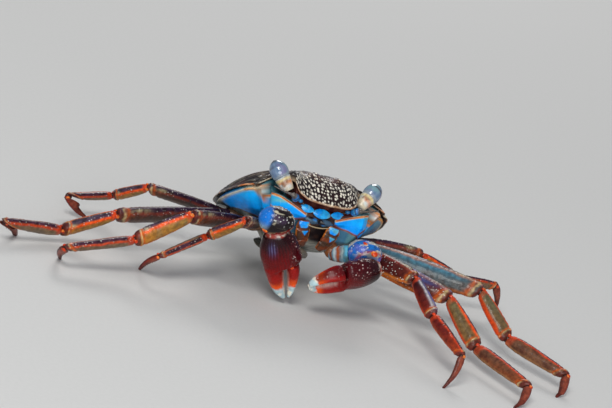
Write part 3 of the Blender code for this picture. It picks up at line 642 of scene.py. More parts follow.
# ---- carapace -------------------------------------------------------------------------
def dome(angle, share):
    """Height of the shell over the body's middle plane."""
    turn = np.abs(angle)
    edge = spline(HEIGHT_KEYS, turn)
    power = DOME_POWER_SIDE + (DOME_POWER_FRONT - DOME_POWER_SIDE) * fade(turn, 25, 60)
    return edge + (DOME_HEIGHT - edge) * (1.0 - share**power)


def lobes(x, f):
    """The swellings of the front."""
    total = 0.0
    for lobe_x, lobe_f, spread, height in LOBES:
        total = total + height * np.exp(-((np.abs(x) - lobe_x)**2 + (f - lobe_f)**2) / spread**2)
    return total


def plate_depth(share):
    return PLATE_MIDDLE + (PLATE_EDGE - PLATE_MIDDLE) * share**2


def crowded_angles(count):
    """Angles round the body from -180 to 180, about three times as close together across the face."""
    even = np.linspace(-180.0, 180.0, 2001)
    density = 1.0 + 2.2 * fade(np.abs(even), 36, 56)
    reached = np.concatenate([[0.0], np.cumsum((density[1:] + density[:-1]) / 2)])
    return np.interp(np.arange(count) / count * reached[-1], reached, even)


def flat_place(angle, radius):
    """Place from the middle of the body: to the left and forward."""
    return radius * np.sin(np.radians(angle)), radius * np.cos(np.radians(angle))


def front_tubercles(angle, share, place):
    """White tubercles of the front, laid out along its edge and inward, and each one's own number."""
    along_edge = np.concatenate([[0], np.cumsum(np.linalg.norm(np.diff(place[-1], axis=0), axis=-1))])
    along_edge = (along_edge - np.interp(0, angle[0], along_edge)) * share
    inward = np.cumsum(np.linalg.norm(np.diff(place[::-1], axis=0), axis=-1), axis=0)[::-1]
    inward = np.concatenate([inward, np.zeros((1, place.shape[1]))])
    spots = np.stack([along_edge, 0.84 * inward, np.full(inward.shape, 0.5 * TUBERCLE_ROOM)], -1)
    away, own = cells(spots, TUBERCLE_ROOM, 3, 0.66)
    return fade(away, 0.22 + 0.08 * own, 0.40 + 0.08 * own), own


def back_relief(x, f, angle, share, place):
    """Rise of the back's surface, and how far each point is tubercle, gill ridge or granule."""
    turn, side = np.abs(angle), np.abs(x)
    front = fade(turn, 27, 33) * smooth(share, 0.60, 0.72)
    tubercle, own = front_tubercles(angle, share, place)
    tubercle = tubercle * front
    groove = sum(weight * bell(line_distance(side, f, line), 0, width) for line, weight, width in GROOVES)
    gills = (smooth(side, 8, 12) * fade(share, 0.93, 0.99) * fade(turn, 135, 160) * smooth(turn, 42, 60))
    wave = (f * 0.86 + side * 0.55 + 0.5 * noise(place, 4.0, 11)) / GILL_RIDGE_PITCH
    ridge = np.clip(np.sin(wave * 2 * math.pi), 0, 1)**2
    granule = fade(cells(place, 0.95, 21)[0], 0.15, 0.42) * (1 - front) * (1 - gills)
    rise = (0.14 * tubercle - 0.32 * groove * (1 - front)
            + 0.35 * bell(np.hypot(side - 3.0, f - 8.0), 0, 2.6) * (1 - front)
            + 0.30 * bell(np.hypot(side, f + 7.0), 0, 3.0) + 0.20 * ridge * gills + 0.09 * granule)
    return rise, tubercle, own, ridge**2 * patches(place, 1.7, 12, -0.15, 0.25) * gills, granule


def paint_back(angle, share, place, tubercle, own, ridge, granule):
    """Near-black back with pale streaks, dark red front with white tubercles, pale rims."""
    turn = np.abs(angle)
    brow, front, crown = fade(turn, 27, 33), fade(turn, 26, 31), fade(share, 0.70, 0.84)
    streak = patches(place * np.array([0.5, 1.0, 1.0]), 1.5, 33, 0.28, 0.55)
    behind = np.maximum(1 - brow, fade(share, 0.55, 0.66)) * (share < 0.95)
    rust = blotched((0.070, 0.018, 0.010), (0.060, 0.040, 0.065), place, 2.4, 39, -0.1, 0.4)
    pearl = mix((0.30, 0.23, 0.18), (0.74, 0.72, 0.62), smooth(own + 0.35 * (share > 0.82), 0.25, 0.75))
    front_rim = blotched((0.42, 0.26, 0.15), (0.62, 0.50, 0.36), place, 1.2, 36, -0.3, 0.4)
    side_rim = smooth(share, 0.975, 0.99) * window(turn, 47, 52, 150, 170)
    socket = window(turn, 28, 31, 46, 49) * smooth(share, 0.93, 0.99)
    return coats(
        mix(BLACK, MAROON, smooth(rough_noise(place, 5.0, 31), -0.3, 0.5)),
        ((0.20, 0.15, 0.11), 0.30 * streak * behind),
        ((0.48, 0.45, 0.34), 0.62 * ridge),
        ((0.50, 0.50, 0.44), 0.6 * granule * patches(place, 1.3, 35, -0.1, 0.3)),
        (rust, 0.8 * crown * brow * smooth(share, 0.58, 0.66)),
        (BLACK, 0.75 * (1 - crown) * brow),
        (pearl, smooth(tubercle, 0.25, 0.7) * (0.45 + 0.55 * smooth(own, 0.05, 0.35))),
        (front_rim, smooth(share, 0.985, 0.990) * front),
        ((0.16, 0.05, 0.02), smooth(share, 0.993, 0.998) * front),
        (blotched(CREAM, ORANGE, place, 2.2, 38, 0.0, 0.5), side_rim * patches(place, 1.6, 37, -0.35, 0.0)),
        ((0.30, 0.22, 0.13), 0.8 * socket))


def make_carapace(material):
    angles = crowded_angles(CARAPACE_COLUMNS)[None, :]
    top = np.concatenate([np.linspace(0.02, 0.62, 46)[:-1], np.linspace(0.62, 1.0, 84)])[:, None]
    radius = spline(RADIUS_KEYS, np.abs(angles))
    fringe = 0.05 * noise(np.stack([angles * 0.5, 0 * angles, 0 * angles], -1), 1.0, 41)
    x, f = flat_place(angles, (radius + fringe * top**8) * top)
    place = body_to_world(x, f, dome(angles, top) + lobes(x, f) * (1.0 - top**8))
    rise, *marks = back_relief(x, f, angles, top, place)
    points = push(place, rise * fade(top, 0.985, 1.0), body_to_world(0, 0, -6.0))
    under = np.array([0.985, 0.95, 0.85, 0.6, 0.3, 0.05])[:, None]
    x, f = flat_place(angles, radius * under)
    below = body_to_world(x, f, dome(angles, under) + lobes(x, f) * (1 - under**8) - plate_depth(under))
    tint = np.concatenate([paint_back(angles, top, place, *marks), np.broadcast_to(BROWN, below.shape)])
    build("shell_carapace", material, [(np.concatenate([points, below]), tint)], ["carapace"])


# ---- underside of the body ------------------------------------------------------------
def cheek_radius(angle):
    turn = np.abs(angle)
    margin = spline(RADIUS_KEYS, turn) - PLATE_EDGE
    face = FACE_FORWARD / np.cos(np.radians(np.minimum(turn, 60.0)))
    front = face + (np.minimum(face, CHEEK_RADIUS) - face) * smooth(turn, 26, 38)
    return front + (margin - front) * smooth(turn, 46, 54)


def orbit_share(angle):
    return window(np.abs(angle), ORBIT_FROM - 4, ORBIT_FROM + 5, ORBIT_TO - 6, ORBIT_TO + 1)


def under_shell(angle, share):
    return dome(angle, share) - plate_depth(share) - UNDER_ROOF


def underside_columns(angle):
    """Radius and level of each ring of the body under the shell, for all angles."""
    turn = np.abs(angle)
    outer = cheek_radius(angle)
    margin = spline(RADIUS_KEYS, turn)
    edge = spline(HEIGHT_KEYS, turn)
    face = fade(turn, FACE_ANGLE - 6, FACE_ANGLE + 8)
    side = smooth(turn, 44, 56)
    front = 1.0 - side
    rear = smooth(turn, 90, 125)
    inner = np.minimum(outer, margin - 1.2) - ORBIT_DEPTH * orbit_share(angle) - 0.7 * face
    share = inner / margin
    rim = (-3.9 + 2.6 * smooth(turn, 20, 48)) * front + (edge - PLATE_EDGE - GAP) * side
    rings = [(inner * part, under_shell(angle, share * part)) for part in (0.5, 0.8, 1.0)]
    rings += [(inner - 0.3 * front, rim + 0.5 * front - 0.3),
              (outer - 0.3 * front - 0.9 * side, rim - 0.35 * front - 0.2 * side)]
    for inset, level in UNDERSIDE:
        rings.append((outer - inset[0] - inset[1] * face - inset[2] * side - inset[3] * rear,
                      level[0] + level[1] * face + level[2] * side + level[3] * rear))
    rings += [(outer * part, STERNUM + 0 * outer) for part in (STERNUM_SHARE, 0.04)]
    return np.array(rings).transpose(1, 0, 2)


def streaks(place, length, seed):
    """Noise drawn out along the body, as growth lines are."""
    across = place @ unit(body_vector(0, 0, 1))
    along = place @ unit(body_vector(0, 1, 0))
    return noise(np.stack([place[..., 0] / length, along / length, across], -1), 1.0, seed)


def paint_cheeks(x, side, w, low, turn, place):
    """Azure low on the cheek, then sky blue, then teal and cream under the rim, with painted shade over the
    crab's left cheek beyond the divider.
    """
    outer = smooth(turn, 46, 58)
    height = (w - low) / (5.5 + 1.6 * outer) + 0.14 * streaks(place, 6.0, 54) + 0.08 * streaks(place, 2.5, 55)
    sky = mix((0.03, 0.42, 0.76), (0.16, 0.48, 0.50), streaks(place, 5.0, 56) * 0.8 + 0.3)
    # painted shade: grey-teal laid over the crab's left cheek beyond the divider, where it turns away from
    # the light
    painted_shade = mix((0.07, 0.12, 0.13), (0.13, 0.17, 0.13), smooth(streaks(place, 3.0, 58), -0.4, 0.5))
    shaded = smooth(x, 14.5, 17.5) * smooth(side - 12.6 - (w + 8.4) * 0.92, -0.2, 0.5)
    return coats(
        AZURE,
        ((0.004, 0.40, 0.98), smooth(height, 0.30, 0.70)),
        (sky, smooth(height, 0.70, 0.98)),
        ((0.50, 0.54, 0.36), outer * smooth(height, 0.92, 1.08) * 0.8),
        # painted shade over the crab's left cheek
        (painted_shade, 0.80 * shaded))


def paint_underside(x, f, w, angle, place):
    """Azure cheeks edged orange, a dark face, steel sides and a pale belly."""
    turn, side = np.abs(angle), np.abs(x)
    wander = 0.22 * noise(place, 2.2, 51)
    level = w + wander
    low = spline(CHEEK_LOW, turn)
    front = (f > 6).astype(float)
    grain = patches(place, 1.4, 59, -0.4, 0.4)
    is_cheek = (smooth(level, low - 0.15, low + 0.15) * smooth(side, 4.3, 4.7)
                * fade(turn, 92, 102) * (f > -6))
    top_line = line_distance(side, w, CHEEK_TOP)
    divider = line_distance(side + wander, w, CHEEK_DIVIDER)
    divided = front * (smooth(w, -7.6, -5.4) + (x > 0))
    wedge = 0.16 + 0.07 * np.clip(w + 8.4, 0, 7)
    tooth = bell(np.hypot((side - 17.0) / 1.5, w + 2.25), 0, 0.62) * front
    low_line = bell(level - low, 0, 0.24) * smooth(side, 4.2, 5.0) * fade(turn, 70, 84) * (f > 0)
    rim = window(turn, 50, 56, 96, 108) * bell(w - spline(HEIGHT_KEYS, turn), -0.95, 0.34)
    above = smooth(w - spline(CHEEK_TOP, np.maximum(side, 4.7)), 0.16, 0.40) * (f > 6)
    sockets = above * window(side, 4.6, 4.9, 19.0, 19.3)
    web = mix((0.020, 0.060, 0.075), (0.05, 0.17, 0.21), smooth(rough_noise(place, 1.3, 61), -0.3, 0.4))
    return coats(
        # belly and sides
        mix(STONE, GREY_TEAL, smooth(rough_noise(place, 4.0, 52), -0.2, 0.4)),
        ((0.30, 0.33, 0.30), smooth(-w, 11.5, 13.5) * 0.8),
        (mix(STEEL, TEAL, 0.5 * patches(place, 3.0, 53, 0.0, 0.6)),
         fade(turn, 60, 80) * smooth(w, -12.5, -10.8)),
        (GREY_TEAL, smooth(turn, 75, 90) * smooth(w, -10.5, -8.5)),
        # cheeks with their orange, rusty and cream edges
        (paint_cheeks(x, side, level, low, turn, place), is_cheek),
        ((0.58, 0.56, 0.36), 0.85 * fade(top_line, 0.36, 0.50) * front),
        (mix((0.80, 0.20, 0.010), (0.50, 0.08, 0.006), grain), fade(top_line, 0.14, 0.24) * front),
        (mix(TAN, ORANGE, grain), smooth(wedge - divider, -0.25, 0.20) * divided * 0.9),
        ((0.20, 0.07, 0.02), bell(divider, 0.05, 0.16) * divided),
        (CREAM, 0.9 * bell(np.hypot(side - 19.3, w + 0.9), 0, 0.75) * front),
        ((0.52, 0.80, 0.84), 0.95 * tooth),
        (mix((0.20, 0.035, 0.015), (0.34, 0.09, 0.02), grain), low_line),
        (blotched((0.74, 0.66, 0.46), (0.68, 0.28, 0.05), place, 2.4, 60, 0.0, 0.5), 0.95 * rim),
        # sockets of the eyes and the dark middle of the face
        (web, sockets),
        (blotched(BLACK, (0.075, 0.032, 0.020), place, 1.7, 62, -0.3, 0.5),
         fade(side, 4.1, 4.7) * (f > 3) * smooth(w, -12.6, -12.0)),
        (mix(MAROON, (0.10, 0.03, 0.02), grain), above * fade(side, 9.2, 9.7)))


def make_thorax(material):
    angles = crowded_angles(BODY_COLUMNS)
    columns = underside_columns(angles)
    steps = np.concatenate([np.linspace(0, 3, 10)[:-1], np.linspace(3, 8, 130)[:-1], np.linspace(8, 9, 14)])
    keys = np.arange(columns.shape[1])
    rings = np.stack([[np.interp(steps, keys, column) for column in table.T] for table in columns])
    rings = rings.transpose(0, 2, 1)
    for _ in range(ROUNDING_PASSES):
        rings[:, 1:-1] = (rings[:, :-2] + 2 * rings[:, 1:-1] + rings[:, 2:]) / 4
    radius, level = rings
    angle = np.broadcast_to(angles, radius.shape)
    x, f = flat_place(angle, radius)
    place = body_to_world(x, f, level)
    flat = smooth(-level, 10.5, 12.5)
    grooves = sum(bell(f - reach - np.abs(x) * 0.25, 0, 0.35) for reach in STERNUM_GROOVES) + bell(x, 0, 0.5)
    wall = smooth(np.abs(angle), 52, 60) * (1 - flat)
    rise = (-0.35 * flat * np.clip(grooves, 0, 1) + 0.05 * noise(place, 1.2, 61) * (1 - flat)
            + 0.06 * fade(cells(place, 0.8, 62)[0], 0.1, 0.45) * wall)
    points = push(place, rise, body_to_world(0, 0, -5.0))
    tint = paint_underside(x, f, level, angle, place)
    build("shell_body", material, [(points, tint)], ["thorax"])


def make_abdomen(material):
    """The tail folded under the body, in seven plates."""
    share = np.linspace(0, 1, 90)[:, None]
    turn = turns(72)[None, :]
    f = ABDOMEN_ROOT + ABDOMEN_LENGTH * share
    rise = ABDOMEN_RISE * fade(f, -21.0, -6.0)
    width, bulge = shape_values(ABDOMEN_SHAPE, share)
    plate = (share * 6.6) % 1.0
    step = 0.22 * window(plate, 0.0, 0.18, 0.82, 1.0)
    x = ABDOMEN_WIDTH * width / 2 * np.cos(turn)
    w = STERNUM - ABDOMEN_DROP - bulge + rise + (ABDOMEN_THICKNESS / 2) * np.sin(turn) * (0.8 + step)
    place = body_to_world(x, f, w)
    tint = coats((0.21, 0.18, 0.14),
                 ((0.12, 0.08, 0.05), bell(plate, 0, 0.12) + bell(plate, 1, 0.12)),
                 (GREY_TEAL, 0.6 * patches(place, 3.0, 71, 0.1, 0.6)))
    build("shell_abdomen", material, [(place, tint)], ["abdomen"])


# ---- eyes, feelers and mouth ----------------------------------------------------------
def make_eye(side_name, stalk_shell, cornea_shell):
    side = SIDES[side_name]
    base, neck, tip = (body_to_world(side * x, f, w) for x, f, w in (EYE_BASE, EYE_NECK, EYE_TIP))
    up = body_vector(0, 0, 1)
    shares = np.linspace(0, 1, 40)
    share = shares[:, None]
    grid = straight_grid(base, neck, up, STALK_SHAPE, shares, 56, trim_end=EYE_CUT)
    grid = push(grid, 0.06 * bell(share, 0.90, 0.08) + 0.08 * noise(grid, 1.3, 81))
    patch = bell(np.cos(turns(56)) * side, 0.7, 0.5) * bell(share, 0.55, 0.22)
    tint = coats(
        blotched(PALE, CREAM, grid, 1.6, 82, -0.4, 0.5),
        (ORANGE, 0.9 * patch * patches(grid, 1.1, 83, -0.6, 0.1)),
        ((0.18, 0.09, 0.05), 0.7 * patches(grid * np.array([1, 1, 0.4]), 0.9, 84, 0.25, 0.5)),
        ((0.66, 0.55, 0.25), 0.8 * bell(share + 0.05 * noise(grid, 1.0, 88), 0.80, 0.09)),
        ((0.24, 0.31, 0.38), 0.85 * smooth(share + 0.06 * noise(grid, 1.2, 89), 0.86, 1.0)))
    build(f"shell_eyestalk_{side_name}", stalk_shell, [(grid, tint)], [f"eyestalk_{side_name}"])
    shares = 1 - (1 - np.linspace(0, 1, 48))**1.5
    share = shares[:, None]
    grid = straight_grid(neck, tip, up, CORNEA_SHAPE, shares, 64, trim_start=EYE_CUT)
    tint = coats(
        blotched((0.11, 0.18, 0.30), (0.16, 0.30, 0.34), grid, 2.4, 85, -0.3, 0.5),
        ((0.20, 0.14, 0.30), 0.7 * patches(grid, 1.8, 86, 0.1, 0.6)),
        ((0.30, 0.42, 0.50), 0.22 * np.clip(np.sin(turns(64) * 9 + 2 * share), 0, 1)),
        ((0.03, 0.02, 0.04), 0.85 * bell(share, 0.62, 0.07) * patches(grid, 3.0, 87, -0.5, 0.1)),
        ((0.03, 0.04, 0.06), smooth(share, 0.80, 0.97)),
        ((0.30, 0.34, 0.36), 0.75 * fade(share + 0.05 * noise(grid, 1.2, 90), 0.03, 0.18)))
    build(f"shell_cornea_{side_name}", cornea_shell, [(grid, tint)], [f"cornea_{side_name}"])


def along_table(widths, count):
    """A table's values at evenly spaced steps from its first row to its last, and those steps."""
    steps = np.linspace(0, len(widths) - 1, count)
    return spline(list(enumerate(widths)), steps), steps


def make_antenna(side_name, material):
    """Thick bright base, jointed whip, and the small folded antennule beside it."""
    side = SIDES[side_name]
    places = body_to_world(*path_points(np.array(ANTENNA_PATH) * (side, 1, 1), 60).T)
    widths, steps = along_table(ANTENNA_WIDTHS, 60)
    rings = 1 + 0.07 * np.sin(steps * 16) * (steps > 1.5)
    grid = tube(places, widths * rings * (1 - 0.42 * smooth(steps, 1.9, 2.6)), 16)
    share = np.linspace(0, 1, 60)[:, None]
    tint = coats(
        mix((0.02, 0.22, 0.60), (0.10, 0.085, 0.075), smooth(share, 0.34, 0.46)),
        (AQUA, 0.6 * patches(grid, 1.0, 91, 0, 0.5) * (share < 0.35)),
        (MAROON, 0.9 * bell(share, 0.31, 0.03)))
    surfaces = [(grid, tint)]
    for x, f, w, size, colour in ANTENNULE:
        axes = [body_vector(size, 0, 0), body_vector(0, size, 0), body_vector(0, 0, size * 0.8)]
        surfaces.append((blob(body_to_world(side * x, f, w), axes), colour))
    build(f"shell_antenna_{side_name}", material, surfaces, [f"antenna_{side_name}"])


def epistome_plate(x, f, w, half_width, half_height, side):
    """One bright lens-shaped plate above the mouth."""
    outward = side * (x > 0)
    axes = [body_vector(half_width, -0.15 * half_width * outward, half_width * 0.10 * outward),
            body_vector(0, 0.42, 0), body_vector(0, 0.12, half_height)]
    grid = blob(body_to_world(side * x, f - 0.22, w), axes, 34, 40, 1.7)
    grid = push(grid, 0.06 * noise(grid, 1.1, 101))
    tip = np.abs(np.cos(np.linspace(BLOB_POLE, math.pi - BLOB_POLE, 34)))[:, None]
    return grid, coats(
        blotched(AZURE, (0.02, 0.42, 0.90), grid, 1.5, 102, -0.3, 0.4),
        ((0.16, 0.52, 0.62), 0.6 * patches(grid, 1.3, 103, 0.3, 0.6)),
        ((0.10, 0.02, 0.012), smooth(tip, 0.86, 0.97)))


def make_face(material):
    """Bright plates above the mouth, the dark jaws and the pale lip below them."""
    surfaces = [epistome_plate(*plate, side) for plate in EPISTOME for side in (1, -1)
                if plate[0] or side > 0]
    for side in (1, -1):
        axes = [body_vector(2.3, 0, 0.15 * side), body_vector(0, 1.0, 0), body_vector(0, 0.2, 1.0)]
        grid = blob(body_to_world(side * 2.15 - 0.3, 15.9, -7.4), axes, 24, 32)
        grid = push(grid, 0.10 * noise(grid * np.array([1, 1, 2]), 1.2, 104))
        tint = mix(blotched(BLACK, (0.05, 0.10, 0.16), grid, 1.4, 105, 0.0, 0.4),
                   (0.03, 0.22, 0.60), 0.6 * patches(grid, 0.9, 106, 0.30, 0.5))
        surfaces.append((grid, tint))
    widths = 0.12 + 0.24 * np.sin(np.linspace(0, math.pi, 40))
    surfaces.append((tube(body_to_world(*path_points(LIP_PATH, 40).T), widths, 10), (0.36, 0.28, 0.17)))
    build("shell_face_plates", material, surfaces)


def make_maxilliped(side_name, material):
    """Outer mouthpart: two long plates edged orange, each with a bright blue tile."""
    path = path_points(np.array(MAXILLIPED_PATH) * (SIDES[side_name], 1, 1), 90)
    widths, _ = along_table(MAXILLIPED_WIDTHS, 90)
    thick = np.full(90, MAXILLIPED_THICKNESS)
    grid = tube(body_to_world(*path.T), widths, 48, body_vector(0, 1, -0.4), thick)
    share = np.linspace(0, 1, 90)[:, None]
    across, facing = np.cos(turns(48)), np.sin(turns(48))
    joint = bell(share, 0.36, 0.025) + bell(share, 0.72, 0.025)
    grid = push(grid, -0.25 * joint + 0.07 * noise(grid, 1.0, 111))
    first = smooth(1.02 - np.abs(across) - 2.4 * np.maximum(share - 0.08, 0), 0, 0.14)
    first = first * window(share, 0.02, 0.05, 0.31, 0.34)
    second = smooth(0.50 - np.abs(across + 0.25) - 3.2 * np.maximum(share - 0.43, 0), 0, 0.14)
    second = second * smooth(share, 0.405, 0.43)
    tint = coats(
        blotched((0.06, 0.030, 0.018), RUST, grid, 1.4, 112, -0.2, 0.5),
        (blotched(AZURE, AQUA, grid, 1.2, 113, 0.0, 0.5), (first + second) * smooth(facing, -0.15, 0.15)),
        (blotched(ORANGE, RUST, grid, 1.3, 114, -0.2, 0.4), 0.8 * smooth(np.abs(across), 0.80, 0.95)))
    build(f"shell_maxilliped_{side_name}", material, [(grid, tint)], [f"maxilliped_{side_name}"])


# ---- walking legs ---------------------------------------------------------------------
def leg_points(side, number, stance, shank_angle):
    """The joints of a leg from hip to foot, and the upward direction of its plane."""
    root, lengths, _ = LEGS[number]
    swing, tilt, angles, bend = stance
    a, t, b = math.radians(swing), math.radians(tilt), math.radians(bend)
    out = np.array([side * math.cos(a), -math.sin(a), 0.0])
    forward = np.cross(out, (0, 0, 1)) * side
    up = np.array([0, 0, math.cos(t)]) + forward * math.sin(t)
    normal = np.cross(out, up) * side
    points = [body_to_world(side * root[0], root[1], root[2])]
    for index, (angle, length) in enumerate(zip(angles, lengths)):
        turn = math.radians(shank_angle if index == SHANK else angle)
        along = out * math.cos(turn) + up * math.sin(turn)
        if index >= SHANK:
            along = along * math.cos(b) + normal * math.sin(b)
        points.append(points[-1] + along * length)
    return points, up


def stand_on_floor(side, number, stance):
    """Turns the leg's shank until its foot is on the floor."""
    low, high = stance[2][SHANK] - SETTLE_RANGE, stance[2][SHANK] + SETTLE_RANGE
    for _ in range(SETTLE_STEPS):
        middle = (low + high) / 2
        points, up = leg_points(side, number, stance, middle)
        if points[-1][2] > 0.0:
            high = middle
        else:
            low = middle
    return points, up


def upper_side(along, plane_up, side):
    if along[2] < -0.5:
        outward = np.array([side, 0, 0])
        return outward - along * np.dot(outward, along) + plane_up * 0.2
    return plane_up - along * np.dot(plane_up, along)


def segment_surface(start, end, up, shape, planes, columns, rows, arch, scale, segment):
    """Skin of one leg segment: keeled above, flat-sided, swollen at its joints, rounded at its ends."""
    along = unit(end - start)
    length = np.linalg.norm(end - start)
    up = unit(up)
    side = np.cross(along, up)
    share = np.linspace(0, 1, rows)
    share = (share - 0.05 * np.sin(2 * math.pi * share))[:, None]
    turn = turns(columns)[None, :]
    height, thickness = shape_values(shape, share)
    narrow = 1.0 - KEEL * np.maximum(0.0, np.sin(turn))**2
    flatter = 1.0 + 0.10 * (np.abs(np.cos(turn))**0.5 - 0.8)
    to_end = np.minimum(share, 1 - share) * length
    rounding = np.sqrt(np.clip(1 - (1 - np.clip(to_end / END_RADIUS, 0, 1))**2, 0.0, 1)) * 0.45 + 0.55
    if segment == "dactyl":
        rounding = np.where(share > 0.5, 1.0, rounding)
    offset = (up * (np.sin(turn) * height / 2 * scale * rounding)[..., None]
              + side * (np.cos(turn) * thickness / 2 * narrow * flatter * scale * rounding)[..., None])
    bow = (arch * np.sin(math.pi * share))[..., None]
    points = start + along * length * share[..., None] + up * bow + offset
    leans = (fade(share, 0.0, 0.55), smooth(share, 0.45, 1.0))
    for (place, normal), end_point, lean in zip(planes, (start, end), leans):
        shift = ((place - end_point - offset) @ normal) / (along @ normal) * lean
        points = points + along * shift[..., None]
    return points, share, turn, along, side, up


def paint_leg(points, share, turn, front_side, segment, look):
    """Colours of one segment by where a point is: top, ridges, front or rear face, lower edge, ends."""
    high = np.sin(turn) + 0 * share
    fore = np.cos(turn) * front_side + 0 * share
    around = np.degrees(np.arctan2(fore, high)) + 7.0 * noise(points, 2.4, 121)
    away = np.abs(around)
    top = fade(away, 30, 44)
    ridge = np.clip(bell(around, 48, look["keel"]) + 0.8 * bell(around, -48, 7.0), 0, 1)
    faded = smooth(share + 0.22 * rough_noise(points, 3.0, 122), *look["fade"])
    patch = look["patchy"] * smooth(rough_noise(points, 1.8, 123), 0.0, 0.5)
    crown = mix(look["top"], BLACK, 0.6 * patches(points, 1.3, 124, 0.0, 0.5))
    pale = bell(share, 0.83, 0.075) * bell(around, 28, 16) * patches(points, 1.2, 128, -0.8, 0.1)
    tint = coats(
        mix(look["near"], look["far"], faded),
        (look["far"], 0.6 * smooth(away, 95, 140)),
        (look["patch"], patch),
        (look["low"], smooth(away, 132, 156) * look["edge"]),
        (crown, top),
        (look["band"], look["banded"] * bell(around, 68, 17) * fade(share, 0.75, 0.95)),
        (look["ridge"], look["ridged"] * ridge * patches(points, 1.5, 125, -1.0, -0.3)),
        (PALE_PATCH, look["pale"] * pale))
    if segment in RIM:
        rim = RIM[segment] + 0.012 * noise(points, 0.9, 126)
        tint = coats(
            tint,
            ((0.55, 0.10, 0.010), 0.85 * bell(share, rim - 0.030, 0.020) * look["ends"]),
            ((0.55, 0.42, 0.20), 0.80 * patches(points, 1.1, 127, -0.35, 0.15) * bell(share, rim, 0.011)),
            ((0.10, 0.020, 0.015), 0.9 * smooth(share, rim + 0.018, rim + 0.030)))
    if segment in ("carpus", "propodus"):
        root = fade(share, 0.07, 0.14) * look["ends"] * (0.35 + 0.65 * smooth(high, -0.2, 0.5))
        tint = mix(tint, (0.55, 0.050, 0.010), root)
    return tint, top, ridge


def leg_relief(points, share, turn, segment, top, ridge):
    """Crests, granules and fine cross-wrinkles of one segment."""
    rise = 0.05 * noise(points, 0.9, 131)
    if segment == "dactyl":
        return rise - 0.10 * bell(np.abs(np.sin(turn * 2)), 0, 0.25)
    waves, rim = WRINKLES[segment], RIM[segment]
    wave = np.sin(share * waves * math.pi)
    granules = fade(cells(points, 0.8, 132)[0], 0.15, 0.40)
    wrinkle = np.sin((share * waves * 1.7 + 0.6 * noise(points, 2.0, 133)) * math.pi)
    return (rise + 0.13 * ridge * (1 + 0.5 * wave) + 0.09 * granules * top
            + 0.025 * wrinkle * (1 - top) * (1 - ridge)
            + 0.09 * bell(share, rim, 0.022) - 0.14 * bell(share, rim - 0.050, 0.018))


def spines(points, normals, rows, column, length, radius, lean):
    """Small pointed spines standing on one column of a grid of points."""
    made = []
    for row in rows:
        root, out = points[row, column], normals[row, column]
        tip = root + out * length + lean * length * 0.6
        path = np.stack([root - out * 0.1, root + (tip - root) * 0.5, tip])
        made.append((tube(path, [2 * radius, 1.3 * radius, 0.12 * radius], 6, lean + 0.01), BROWN))
    return made


def joint_surfaces(start, along, up, across, segment, stout):
    """Dark soft joint before a segment, with a red knob on either side."""
    height, thickness = (values[0] * stout for values in shape_values(SEGMENT_SHAPES[segment], np.zeros(1)))
    made = [(blob(start, [along * 1.1, up * height * 0.40, across * thickness * 0.40]), JOINT_DARK)]
    for side in (1, -1):
        centre = start + across * side * thickness * 0.37 + up * height * 0.24
        made.append(knob(centre, 0.68 * stout, across * side + up * 0.5))
    return made


def hip_surfaces(hip, along, plane_up, number, stout):
    """Soft skin between the body and the leg's first segment."""
    up = unit(plane_up)
    _, f, w = LEGS[number][0]
    inward = unit(body_to_world(0, f, w + 1.0) - hip)
    inner = [inward * 3.0, up * 2.1 * stout, unit(np.cross(inward, plane_up)) * 1.9 * stout]
    outer = [along * 1.9, up * 1.75 * stout, unit(np.cross(along, plane_up)) * 1.5 * stout]
    return [(blob(hip + inward * 1.6, inner, 20, 28), mix(BROWN, TAN, 0.3)),
            (blob(hip - along * 1.2, outer, 16, 24), (0.16, 0.07, 0.035))]


def make_leg(side_name, number, material, joint_material):
    side = SIDES[side_name]
    stout = LEGS[number][2]
    points, plane_up = stand_on_floor(side, number, STANCES[side_name, number])
    directions = [unit(b - a) for a, b in zip(points, points[1:])]
    joints = []
    leg_name = f"leg{number - 1}_{side_name}"
    for index, (segment, rows) in enumerate(SEGMENT_ROWS.items()):
        start, end, along = points[index], points[index + 1], directions[index]
        first = unit(directions[index - 1] + along) if index else along
        last = unit(along + directions[index + 1]) if index < 3 else along
        planes = [(start + first * (GAP / 2 / (along @ first)), first),
                  (end - last * (GAP / 2 / (along @ last)), last)]
        is_foot = segment == "dactyl"
        if is_foot:
            planes[1] = (np.array([end[0], end[1], 0.0]), np.array([0, 0, -1.0]))
        surface, share, turn, along, across, up = segment_surface(
            start, end, upper_side(along, plane_up, side), SEGMENT_SHAPES[segment], planes, LEG_COLUMNS, rows,
            DACTYL_ARCH if is_foot else 0.0, stout, segment)
        look = {**PLAIN_LOOK, **LOOKS[segment], **LEG_CHANGES.get((side_name, number, segment), {})}
        tint, top, ridge = paint_leg(surface, share, turn, side, segment, look)
        still = fade(share, 0.9, 1.0) if is_foot else 1.0
        skin = push(surface, leg_relief(surface, share, turn, segment, top, ridge) * still)
        sparse = patches(skin, 1.7, 134, -0.35, 0.25)
        spotted = look["spotted"]
        dots = np.clip(top * (0.25 + 0.75 * sparse) + 0.6 * ridge * sparse, spotted * sparse, 1) * 0.85
        plain_end = 1 - (1 - spotted) * smooth(share, 0.86, 0.91)
        dots = dots * (not is_foot) * smooth(share, 0.02, 0.1) * plain_end
        surfaces = [(skin, tint, dots)]
        if is_foot:
            normals = normals_of(skin)
            for column in SPINE_COLUMNS:
                surfaces += spines(skin, normals, SPINE_ROWS, column, 0.28 * stout, 0.12, along)
        build(f"shell_{leg_name}_{segment}", material, surfaces, [f"{leg_name}_{segment}"])
        if index:
            joints += joint_surfaces(start, along, up, across, segment, stout)
    joints += hip_surfaces(points[0], directions[0], plane_up, number, stout)
    build(f"joints_{leg_name}", joint_material, joints)


# ---- claws ----------------------------------------------------------------------------
def claw_place(place):
    """World place of a claw's point: level with the floor, and beside the middle of the body."""
    return np.array([BODY_PLACE[0] + place[0], BODY_PLACE[1] + place[1], place[2]])


